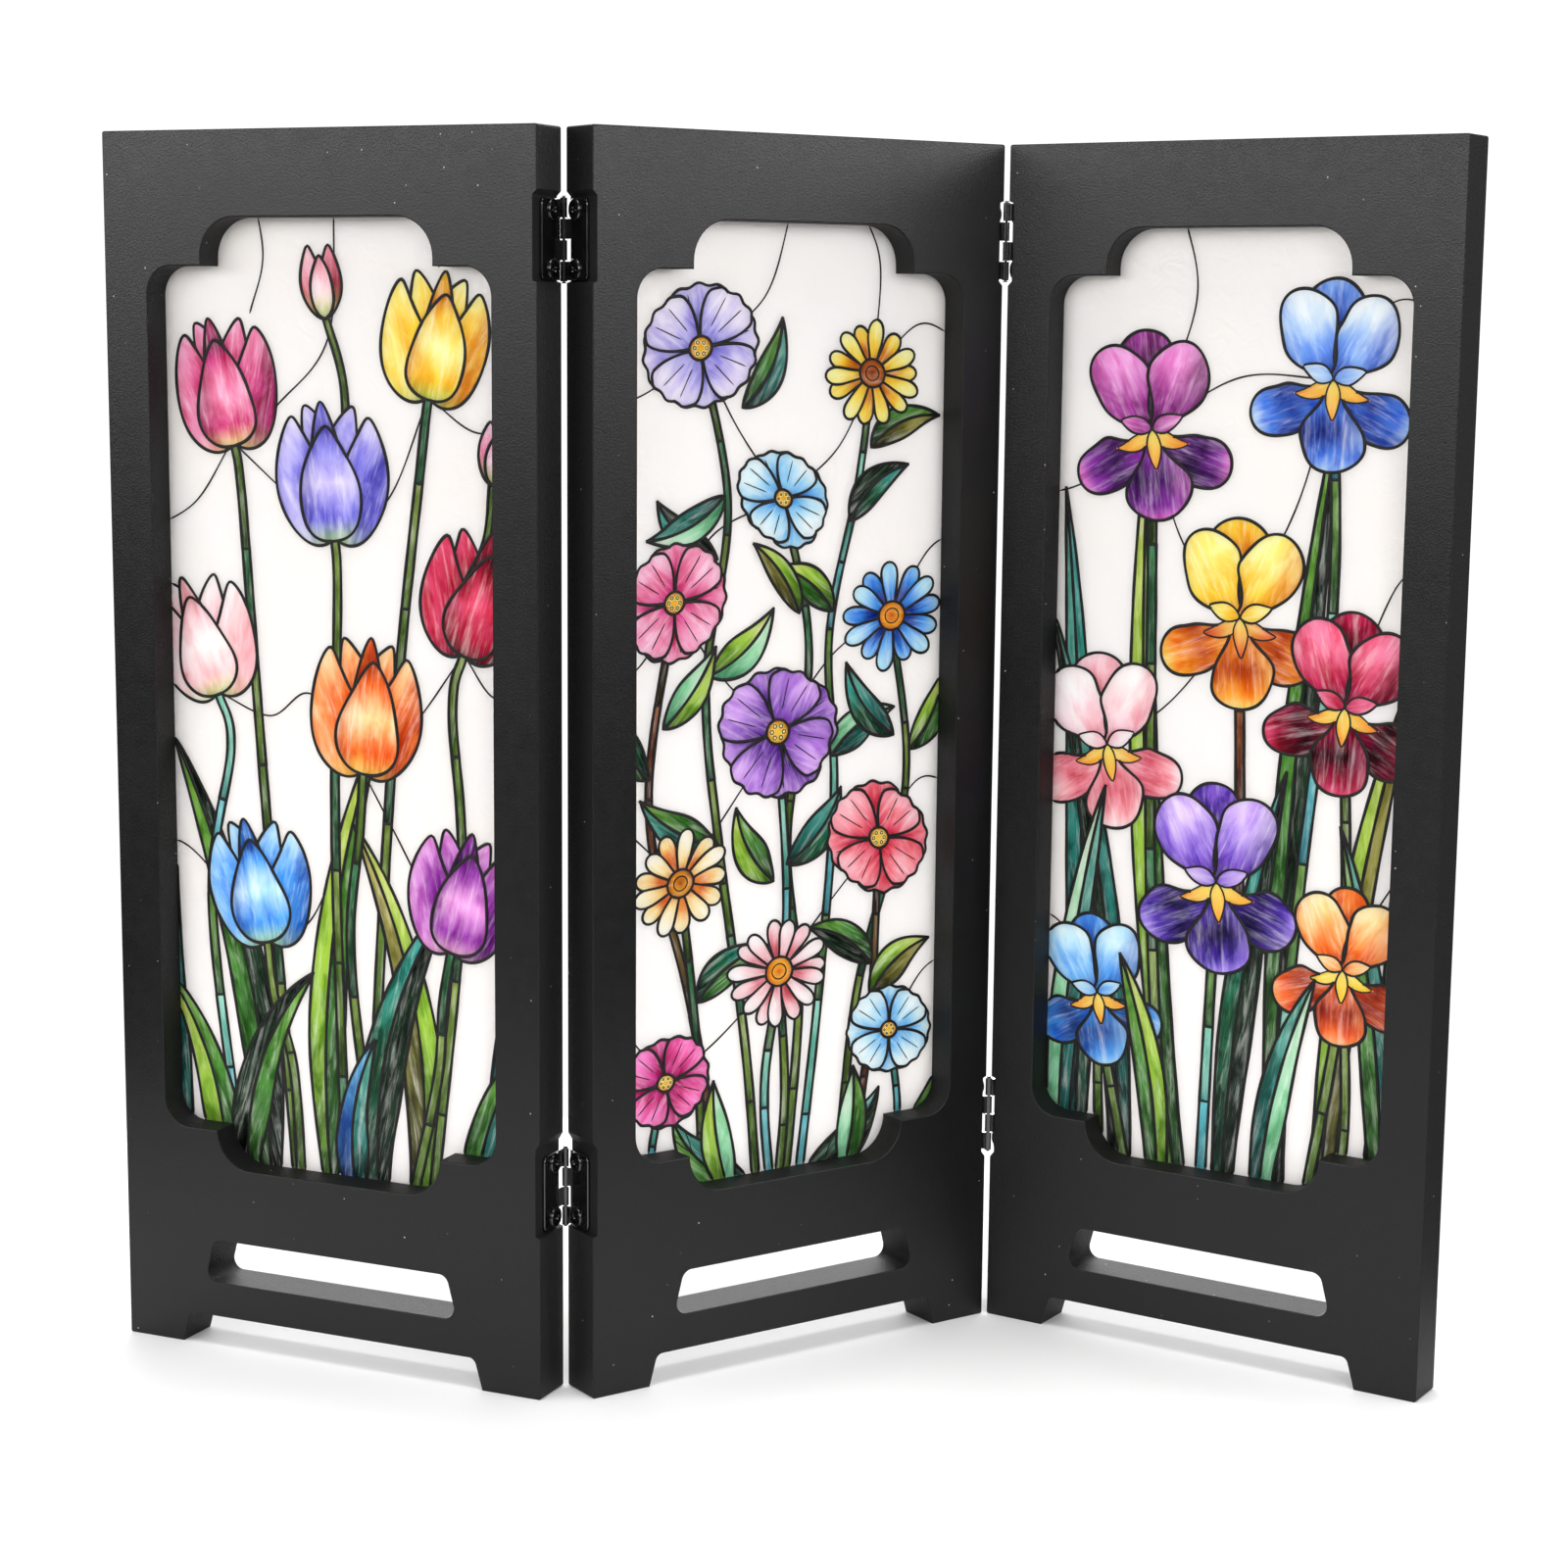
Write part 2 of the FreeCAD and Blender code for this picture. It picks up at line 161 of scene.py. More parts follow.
    def dots(self, centre, ring, count, r, colour, lw=0.3, squash=1.0, turn=0.0):
        for i in range(count):
            a = 2 * math.pi * i / count + turn
            p = np.asarray(centre, float) + np.array([ring * math.cos(a), ring * squash * math.sin(a)])
            k = np.linspace(0, 2 * np.pi, 9)[:-1]
            self.add(p + r * np.stack([np.cos(k), np.sin(k)], 1), p, (1, 0), r, r, [(0, colour), (1, colour)], 0.2, lw, radial=True)


def curve(points, step):
    """Smooth run through points (centripetal spline), sampled about every step millimetres."""
    p = np.asarray(points, float)
    if len(p) == 2:
        n = max(2, int(np.linalg.norm(p[1] - p[0]) / step) + 1)
        return p[0] + (p[1] - p[0]) * np.linspace(0, 1, n)[:, None]
    p = np.concatenate([[2 * p[0] - p[1]], p, [2 * p[-1] - p[-2]]])
    out = []
    for i in range(1, len(p) - 2):
        a, b, c, d = p[i - 1], p[i], p[i + 1], p[i + 2]
        n = max(2, int(np.linalg.norm(c - b) / step) + 1)
        t = np.linspace(0, 1, n)[:, None]
        q = 0.5 * (2 * b + (c - a) * t + (2 * a - 5 * b + 4 * c - d) * t ** 2 + (3 * b - a - 3 * c + d) * t ** 3)
        out.append(q if i == len(p) - 3 else q[:-1])
    return np.concatenate(out)


# ----- flowers -----
def tulip(art, base, ang, size, pal, spread=1.0, turn=0.0):
    """Cup flower: back petals, side petals, front petal."""
    deep, mid, light, throat = pal
    b = np.asarray(base, float)
    up = vec(ang)
    back = [(0, deep), (0.55, mid), (1, light)]
    art.blade(b + up * size * 0.16, ang + 15 * spread, size * 0.84, size * 0.36, "tulip", back, bend=-0.04, lw=0.8)
    art.blade(b + up * size * 0.16, ang - 14 * spread, size * 0.82, size * 0.36, "tulip", back, bend=0.04, lw=0.8)
    art.blade(b + up * size * 0.10, ang + 2 + turn, size * 0.90, size * 0.30, "tulip", [(0, deep), (0.7, deep), (1, mid)], lw=0.8)
    side = [(0, throat), (0.22, mid), (0.6, mid), (1, light)]
    art.blade(b, ang + 20 * spread, size * 0.95, size * 0.46, "tulip", side, bend=0.085, lean=0.12, side=(light, 0.55, 1))
    art.blade(b, ang - 20 * spread, size * 0.93, size * 0.46, "tulip", side, bend=-0.085, lean=-0.12, side=(deep, 0.55, -1))
    art.blade(b - up * size * 0.02, ang + turn, size * 0.84, size * 0.52, "tulip",
              [(0, throat), (0.2, mid), (0.5, light), (0.8, mid), (1, deep)], bend=0.012 * (1 if turn >= 0 else -1), side=(deep, 0.4, 1))


def tulip_bud(art, base, ang, size, pal):
    deep, mid, light, throat = pal
    art.blade(base, ang + 9, size * 0.95, size * 0.36, "bud", [(0, throat), (0.5, mid), (1, light)], bend=0.05)
    art.blade(base, ang - 9, size * 0.93, size * 0.36, "bud", [(0, throat), (0.5, deep), (1, mid)], bend=-0.05)
    art.blade(base, ang, size * 0.80, size * 0.34, "bud", [(0, throat), (0.45, light), (1, mid)])


def flattened(centre, k, phi):
    c = np.asarray(centre, float)
    a = math.radians(phi)
    r = np.array([[math.cos(a), -math.sin(a)], [math.sin(a), math.cos(a)]])
    m = r @ np.diag([1, k]) @ r.T

    def warp(p):
        return c + (np.asarray(p) - c) @ m.T
    return warp


def daisy(art, centre, radius, count, pal, k=0.9, phi=0.0, turn=0.0, wide=1.0, prof="wedge", disc=("f2b632", "c8641c"), core=0.27, lw=0.72):
    """Ray flower: a back row and a front row of petals round a disc."""
    deep, mid, light = pal
    c = np.asarray(centre, float)
    warp = flattened(c, k, phi)
    half = math.pi * radius / count
    for row in (0, 1):
        for i in range(count):
            if i % 2 != row:
                continue
            a = 360 * i / count + turn + art.rng.uniform(-4, 4)
            ln = radius * art.rng.uniform(0.93, 1.05) * (0.97 if row == 0 else 1.0)
            tone = [(0, deep), (0.36, deep), (0.62, mid), (1, light)] if row == 0 else [(0, deep), (0.30, mid), (0.75, light), (1, light)]
            start = c + vec(a) * radius * 0.12
            art.blade(start, a, ln - radius * 0.12, half * 1.42 * wide, prof, tone, bend=art.rng.uniform(-0.03, 0.03), warp=warp, n=16, lw=lw, wob=0.04)
    th = np.linspace(0, 2 * np.pi, 25)[:-1]
    ring = c + radius * core * np.stack([np.cos(th), np.sin(th)], 1)
    art.add(warp(ring), c, (1, 0), radius * core, radius * core, [(0, disc[0]), (0.55, disc[0]), (1, disc[1])], 0.6, lw, radial=True)
    inner = c + radius * core * 0.55 * np.stack([np.cos(th[::2]), np.sin(th[::2])], 1)
    art.add(warp(inner), c, (1, 0), radius * core * 0.55, radius * core * 0.55, [(0, disc[1]), (1, disc[0])], 0.6, 0.4, radial=True)


def cosmos(art, centre, radius, count, pal, k=0.9, phi=0.0, turn=0.0, disc=("f4c23a", "b0521a"), lw=0.8):
    """Broad-petalled open flower with toothed petal ends."""
    deep, mid, light = pal
    c = np.asarray(centre, float)
    warp = flattened(c, k, phi)
    for row in (0, 1):
        for i in range(count):
            if i % 2 != row:
                continue
            a = 360 * i / count + turn + art.rng.uniform(-4, 4)
            d, q = vec(a), vec(a + 90)
            ln = radius * art.rng.uniform(0.95, 1.05)
            wide = math.pi * radius / count * (1.30 if row else 1.42)
            s = np.linspace(-1, 1, 15)
            tip = ln * (1 - 0.16 * s ** 2 + 0.035 * np.cos(3 * np.pi * s))
            w_tip = wide * 0.93
            top = c + np.outer(tip, d) + np.outer(s * w_tip, q)
            u = np.linspace(0, 1, 10)[1:-1]
            edge = 0.16 + 0.84 * np.sin(u * np.pi / 2) ** 0.9
            e_r = c + np.outer(radius * 0.10 + (tip[0] - radius * 0.10) * u, d) - np.outer(edge * w_tip, q)
            e_l = c + np.outer(radius * 0.10 + (tip[-1] - radius * 0.10) * u, d) + np.outer(edge * w_tip, q)
            base = c + d * radius * 0.08
            poly = np.concatenate([[base - q * wide * 0.12], e_r, top, e_l[::-1], [base + q * wide * 0.12]])
            tone = [(0, deep), (0.32, deep), (0.58, mid), (1, light)] if row == 0 else [(0, deep), (0.24, mid), (0.68, light), (1, light)]
            p = art.add(warp(poly), c, d, ln, wide, tone, 1.0, lw, side=(mid, 0.5, 1))
            for f in (-0.36, 0.34):
                run = c + np.outer(np.linspace(0.36, 0.86, 6) * ln, d) + np.outer(np.linspace(0.45, 1.0, 6) * f * wide, q)
                art.lines.append((p, warp(run), 0.30))
    th = np.linspace(0, 2 * np.pi, 21)[:-1]
    ring = c + radius * 0.20 * np.stack([np.cos(th), np.sin(th)], 1)
    art.add(warp(ring), c, (1, 0), radius * 0.2, radius * 0.2, [(0, disc[0]), (0.6, disc[0]), (1, disc[1])], 0.6, lw, radial=True)
    art.dots(c, radius * 0.105, 6, radius * 0.045, "fbe7a0", squash=k)


def iris(art, centre, size, pal, lean=0.0, beard="f3a51f", spathe=("5f8f3a", "a9c35a")):
    """Iris: three standards above, three falls below, a beard on each fall."""
    s_deep, s_mid, s_light, f_deep, f_mid, f_light = pal
    c = np.asarray(centre, float)
    up = 90 + lean
    art.blade(c - vec(up) * size * 0.30, up, size * 0.30, size * 0.13, "bud", [(0, spathe[0]), (1, spathe[1])], lw=0.8)
    sd = [(0, s_deep), (0.3, s_mid), (0.75, s_light), (1, s_light)]
    art.blade(c, up + 3, size * 0.54, size * 0.36, "standard", [(0, s_deep), (0.5, s_deep), (1, s_mid)], wob=0.09)
    fl = [(0, f_light), (0.22, f_mid), (0.55, f_deep), (0.85, f_mid), (1, f_light)]
    art.blade(c, up + 112, size * 0.50, size * 0.30, "fall", fl, bend=0.13, wob=0.10, lean=0.1, side=(f_light, 0.5, -1))
    art.blade(c, up - 112, size * 0.50, size * 0.30, "fall", fl, bend=-0.13, wob=0.10, lean=-0.1, side=(f_deep, 0.5, -1))
    art.blade(c, up + 25, size * 0.52, size * 0.34, "standard", sd, bend=0.09, wob=0.09, side=(s_mid, 0.5, 1))
    art.blade(c, up - 25, size * 0.51, size * 0.34, "standard", sd, bend=-0.09, wob=0.09, side=(s_deep, 0.5, -1))
    art.blade(c, up + 180 + 4, size * 0.50, size * 0.37, "fall", fl, wob=0.10, side=(f_light, 0.45, 1))
    for a, b, ln in ((up + 112, 0.13, 0.24), (up - 112, -0.13, 0.24), (up + 184, 0.0, 0.23)):
        art.blade(c, a, size * ln, size * 0.085, "leaf", [(0, "f8df7a"), (1, beard)], bend=b, lw=0.5, n=12, streak=0.6)
    for a in (up + 72, up - 72):
        art.blade(c, a, size * 0.20, size * 0.10, "leaf", [(0, s_mid), (1, s_light)], lw=0.6, n=12)


def bell(art, base, ang, size, pal):
    """Small nodding bell with a flared rim."""
    deep, mid, light = pal
    art.blade(base, ang + 17, size, size * 0.40, "standard", [(0, deep), (0.6, mid), (1, light)], bend=-0.05, lw=0.65, n=16)
    art.blade(base, ang - 17, size, size * 0.40, "standard", [(0, deep), (0.6, mid), (1, light)], bend=0.05, lw=0.65, n=16)
    art.blade(base, ang, size * 1.04, size * 0.42, "standard", [(0, deep), (0.4, mid), (1, light)], lw=0.65, n=16)
    art.blade(np.asarray(base, float) - vec(ang) * size * 0.12, ang, size * 0.34, size * 0.30, "bud", [(0, "3f6b2c"), (1, "86a94a")], lw=0.6, n=12)


# ----- palettes -----
G_DARK = [(0, "07140d"), (0.5, "153820"), (1, "091a10")]
G_MID = [(0, "173f1e"), (0.5, "4a8a34"), (1, "86b84a")]
G_LIME = [(0, "4a7a22"), (0.5, "a0c444"), (1, "d7df86")]
G_TEAL = [(0, "092f2c"), (0.5, "267f76"), (1, "86ccbc")]
G_MINT = [(0, "4f9f78"), (0.5, "a6d9b6"), (1, "dff1dc")]
G_SEA = [(0, "0a2622"), (0.45, "186a46"), (0.8, "38a298"), (1, "93d8d8")]
G_OLIVE = [(0, "2f3012"), (0.5, "7d7c32"), (1, "c4bd72")]
G_BLUE = [(0, "12386b"), (0.5, "2a6fb0"), (1, "6fc0dc")]
G_GOLD = [(0, "8a6a20"), (0.5, "d3b04a"), (1, "f1e3a0")]
STEM_G = [("3d5a24", "6f8f3a"), ("5d7a34", "93a956"), ("2f5a3c", "4f8f62")]
STEM_T = [("2d7a86", "7fcfd6"), ("4fa39a", "a9e0cf"), ("3d6a3a", "7fa85a")]
STEM_B = [("3a2418", "7a4630"), ("5a3020", "a0643c"), ("43301c", "83683c")]

PINK = ("8f1455", "d8488f", "f6c2d8")
ROSE = ("a01028", "dc3f63", "f8b5bf")
CRIM = ("560818", "b0123a", "e5497a")
VIOL = ("3a1266", "7d3fb0", "cda6e6")
LILA = ("5b55b5", "a9a3e2", "e6e0f6")
AZUR = ("1446a8", "3f9be6", "bfe4fa")
SKY = ("2b7cc8", "8ccaf2", "e4f4fc")
YELL = ("d58a10", "f6d238", "fdf3b0")
CREAM = ("e08a3c", "f6d9a0", "fdf2e0")
ORAN = ("b83a0c", "ee8a2c", "fbd7a2")
BLUSH = ("d9808c", "f4cdd2", "fdf0f0")
MAGE = ("6a0a4a", "c21f86", "f08cc8")


def left_design():
    """Tulips on tall stems among long strap leaves."""
    art = Art(11)
    # stems, back to front
    heads = [
        ((31, 226), 98, 31, ("7c0f4e", "d4408c", "f7bcd6", "e9d9a0"), 1.0, 4),
        ((85, 238), 82, 30, ("d0860e", "f5cf36", "fdf4b6", "b8c25a"), 1.1, -4),
        ((59, 204), 92, 33, ("4a3fae", "8f8ae0", "e2dcf6", "bcd2a8"), 1.0, 3),
        ((94, 178), 77, 30, ("58061a", "b4103c", "ea5a86", "7a1a2a"), 1.05, -5),
        ((25, 165), 104, 30, ("e09aa4", "f6d2d6", "fdf1f0", "cfd8a4"), 1.1, 5),
        ((66, 148), 86, 33, ("b4380c", "ec852a", "fbdcae", "e8c868"), 1.0, -3),
        ((38, 104), 97, 31, ("12489f", "4aa2e8", "cfeafb", "a8d0b0"), 1.05, 4),
        ((90, 106), 80, 30, ("54106c", "a43bb4", "ecb4e6", "d6a8c8"), 1.0, -4),
    ]
    roots = [(46, 40), (66, 40), (60, 38), (84, 40), (30, 42), (70, 38), (47, 42), (78, 40)]
    mids = [(38, 140), (74, 150), (58, 130), (93, 120), (22, 112), (62, 100), (45, 72), (86, 74)]
    art.ground_line([(8, 205), (20, 212), (30, 226)])
    art.ground_line([(31, 226), (44, 236), (58, 252), (60, 284)])
    art.ground_line([(85, 238), (98, 230), (111, 233)])
    art.ground_line([(59, 204), (74, 214), (85, 238)])
    art.ground_line([(59, 204), (46, 214), (31, 226)])
    art.ground_line([(8, 186), (16, 180), (25, 165)])
    art.ground_line([(94, 178), (102, 168), (111, 170)])
    art.ground_line([(66, 148), (80, 160), (94, 178)])
    art.ground_line([(25, 165), (40, 160), (52, 166), (66, 148)])
    art.ground_line([(8, 128), (18, 124), (38, 104)])
    art.ground_line([(90, 106), (102, 112), (111, 124)])
    art.ground_line([(66, 148), (78, 128), (90, 106)])
    art.ground_line([(38, 104), (52, 112), (66, 148)])
    art.ground_line([(38, 284), (40, 270), (36, 257)])
    art.ground_line([(98, 284), (94, 276), (88, 268)])
    # far leaves
    art.split_leaf((97, 40), 84, 118, 12, "strap", G_TEAL, G_SEA, bend=-0.05)
    art.split_leaf((15, 40), 92, 92, 11, "strap", G_MINT, G_TEAL, bend=0.05)
    art.split_leaf((56, 40), 83, 120, 11, "strap", G_LIME, G_MID, bend=0.06)
    art.stem([(62, 216), (62, 240), (57, 257)], 1.9, 1.6, STEM_G)
    art.stem([(92, 190), (100, 204), (102, 219)], 1.9, 1.6, STEM_G)
    for i in (2, 0, 1):
        (h, ang, sz, pal, sp, tn), r, m = heads[i], roots[i], mids[i]
        art.stem([r, m, np.array(h) - vec(ang) * 14, h], 2.5, 2.0, STEM_G[i % 3:] + STEM_G[:i % 3])
    art.split_leaf((38, 40), 103, 116, 13, "strap", G_MID, G_DARK, bend=-0.06)
    art.split_leaf((80, 40), 100, 96, 12, "strap", G_OLIVE, G_LIME, bend=-0.09)
    for i in (4, 3, 5):
        (h, ang, sz, pal, sp, tn), r, m = heads[i], roots[i], mids[i]
        art.stem([r, m, np.array(h) - vec(ang) * 14, h], 2.5, 2.0, (STEM_G, STEM_T, STEM_G)[i % 3])
    for i in (2, 0, 1, 4, 3, 5):
        h, ang, sz, pal, sp, tn = heads[i]
        tulip(art, h, ang, sz, pal, sp, tn)
    # near leaves
    art.split_leaf((70, 38), 76, 84, 13, "strap", G_SEA, G_DARK, bend=0.10)
    for i in (6, 7):
        (h, ang, sz, pal, sp, tn), r, m = heads[i], roots[i], mids[i]
        art.stem([r, m, np.array(h) - vec(ang) * 14, h], 2.6, 2.1, STEM_G)
        tulip(art, h, ang, sz, pal, sp, tn)
    art.split_leaf((24, 38), 106, 58, 11, "strap", G_LIME, G_MID, bend=-0.10)
    art.split_leaf((32, 38), 72, 62, 12, "strap", G_DARK, G_MID, bend=0.12)
    art.split_leaf((96, 38), 72, 50, 11, "strap", G_MID, G_TEAL, bend=0.08)
    art.split_leaf((64, 38), 84, 44, 10, "strap", G_BLUE, G_TEAL, bend=0.10)
    # buds
    tulip_bud(art, (57, 256), 96, 19, ("c0506c", "f0a0b4", "fbdfe4", "b8c878"))
    tulip_bud(art, (102, 218), 82, 16, ("b8326a", "e889b0", "fad6e4", "9ab04c"))
    return art


def centre_design():
    """Daisies and cosmos on slender stems with feathery leaves."""
    art = Art(23)
    f = {
        "a": (34, 250), "b": (84, 244), "c": (58, 214), "d": (27, 190), "e": (91, 184),
        "g": (57, 157), "h": (29, 122), "i": (88, 128), "j": (58, 97), "k": (92, 78), "l": (25, 73),
    }
    art.ground_line([(8, 236), (20, 240), f["a"]])
    art.ground_line([f["a"], (52, 262), (60, 284)])
    art.ground_line([f["b"], (98, 256), (111, 252)])
    art.ground_line([f["b"], (86, 270), (80, 284)])
    art.ground_line([f["c"], (44, 232), f["a"]])
    art.ground_line([f["c"], (74, 226), f["b"]])
    art.ground_line([(8, 170), (18, 176), f["d"]])
    art.ground_line([f["d"], (38, 206), f["c"]])
    art.ground_line([f["e"], (102, 200), (111, 204)])
    art.ground_line([f["g"], (74, 176), f["e"]])
    art.ground_line([f["g"], (40, 172), f["d"]])
    art.ground_line([(8, 140), (16, 134), f["h"]])
    art.ground_line([f["h"], (42, 138), f["g"]])
    art.ground_line([f["i"], (100, 142), (111, 140)])
    art.ground_line([f["j"], (72, 112), f["i"]])
    art.ground_line([f["l"], (14, 86), (8, 88)])
    art.ground_line([f["l"], (40, 82), f["j"]])
    art.ground_line([f["k"], (102, 92), (111, 96)])
    # stems
    art.stem([(52, 40), (48, 80), (40, 130), (36, 170), (42, 212), f["a"]], 2.3, 1.6, STEM_G, cuts=22)
    art.stem([(64, 40), (70, 90), (74, 140), (72, 180), (80, 216), f["b"]], 2.3, 1.6, STEM_T, cuts=22)
    art.stem([(60, 40), (64, 90), (60, 130), (66, 176), f["c"]], 2.4, 1.7, STEM_G, cuts=24)
    art.stem([(42, 40), (32, 92), (20, 140), f["d"]], 2.2, 1.6, STEM_B, cuts=24)
    art.stem([(76, 40), (82, 90), (96, 140), f["e"]], 2.2, 1.6, STEM_G, cuts=24)
    # leaves on the stems
    art.split_leaf((40, 130), 150, 26, 9, "leaf", G_TEAL, G_MID, bend=0.08, veins=0)
    art.split_leaf((37, 172), 40, 24, 9, "leaf", G_LIME, G_MINT, bend=-0.10)
    art.split_leaf((39, 200), 140, 22, 8, "leaf", G_SEA, G_DARK, bend=0.10)
    art.split_leaf((73, 150), 30, 22, 9, "leaf", G_MINT, G_TEAL, bend=0.10)
    art.split_leaf((73, 186), 145, 20, 8, "leaf", G_MID, G_LIME, bend=-0.10)
    art.split_leaf((78, 208), 38, 22, 8, "leaf", G_DARK, G_SEA, bend=0.12)
    art.split_leaf((63, 186), 128, 22, 7, "leaf", G_OLIVE, G_LIME, bend=-0.08)
    art.split_leaf((20, 148), 118, 22, 8, "leaf", G_MID, G_SEA, bend=0.10)
    art.split_leaf((24, 160), 52, 24, 8, "leaf", G_MINT, G_LIME, bend=-0.06)
    art.split_leaf((97, 150), 62, 22, 8, "leaf", G_LIME, G_MID, bend=-0.10)
    art.split_leaf((92, 154), 128, 24, 8, "leaf", G_SEA, G_TEAL, bend=0.10)
    art.split_leaf((46, 236), 62, 24, 8, "leaf", G_MID, G_TEAL, bend=-0.12)
    art.split_leaf((84, 226), 20, 22, 8, "leaf", G_MID, G_OLIVE, bend=0.12)
    art.split_leaf((41, 215), 205, 24, 8, "leaf", G_MINT, G_TEAL, bend=0.10)
    cosmos(art, f["a"], 16.5, 8, LILA, k=0.86, phi=20, turn=8)
    daisy(art, f["b"], 14.5, 14, YELL, k=0.88, phi=-20, turn=4, disc=("c9701c", "7a3410"))
    cosmos(art, f["c"], 13.5, 8, SKY, k=0.80, phi=-30, turn=14)
    cosmos(art, f["d"], 15, 8, PINK, k=0.88, phi=40, turn=2)
    daisy(art, f["e"], 15, 13, AZUR, k=0.9, phi=10, turn=10)
    art.stem([(56, 40), (54, 70), (60, 110), f["g"]], 2.4, 1.8, STEM_T, cuts=20)
    art.split_leaf((56, 120), 120, 22, 9, "leaf", G_LIME, G_MID, bend=0.1)
    art.split_leaf((60, 124), 48, 24, 9, "leaf", G_TEAL, G_SEA, bend=-0.1)
    cosmos(art, f["g"], 17, 8, VIOL, k=0.92, phi=0, turn=20)
    art.stem([(36, 40), (34, 80), f["h"]], 2.2, 1.7, STEM_G, cuts=22)
    art.stem([(80, 40), (86, 80), f["i"]], 2.2, 1.7, STEM_B, cuts=22)
    art.split_leaf((34, 92), 30, 24, 9, "leaf", G_SEA, G_MID, bend=0.1)
    art.split_leaf((86, 96), 150, 22, 9, "leaf", G_DARK, G_MID, bend=-0.1)
    art.split_leaf((86, 88), 35, 22, 9, "leaf", G_LIME, G_OLIVE, bend=0.1)
    daisy(art, f["h"], 14.5, 13, CREAM, k=0.86, phi=30, turn=0, disc=("e7a52a", "9a4a14"))
    cosmos(art, f["i"], 15.5, 8, ROSE, k=0.86, phi=-25, turn=6)
    art.stem([(58, 40), (60, 66), f["j"]], 2.4, 1.9, STEM_G, cuts=20)
    daisy(art, f["j"], 15, 15, BLUSH, k=0.92, phi=10, turn=6)
    art.stem([(94, 40), (95, 58), f["k"]], 2.0, 1.6, STEM_T, cuts=20)
    art.stem([(22, 40), (21, 56), f["l"]], 2.0, 1.6, STEM_T, cuts=20)
    art.split_leaf((50, 44), 140, 30, 10, "leaf", G_MID, G_TEAL, bend=0.12, veins=2)
    art.split_leaf((66, 44), 40, 30, 10, "leaf", G_SEA, G_DARK, bend=-0.12, veins=2)
    art.split_leaf((44, 42), 100, 30, 9, "leaf", G_LIME, G_MINT, bend=0.05)
    art.split_leaf((78, 42), 84, 28, 9, "leaf", G_MINT, G_MID, bend=-0.05)
    art.split_leaf((96, 46), 60, 24, 8, "leaf", G_MID, G_LIME, bend=-0.1)
    art.split_leaf((20, 46), 122, 22, 8, "leaf", G_MID, G_DARK, bend=0.1)
    cosmos(art, f["k"], 13, 8, SKY, k=0.85, phi=-10, turn=0)
    cosmos(art, f["l"], 13, 8, MAGE, k=0.85, phi=15, turn=12)
    return art


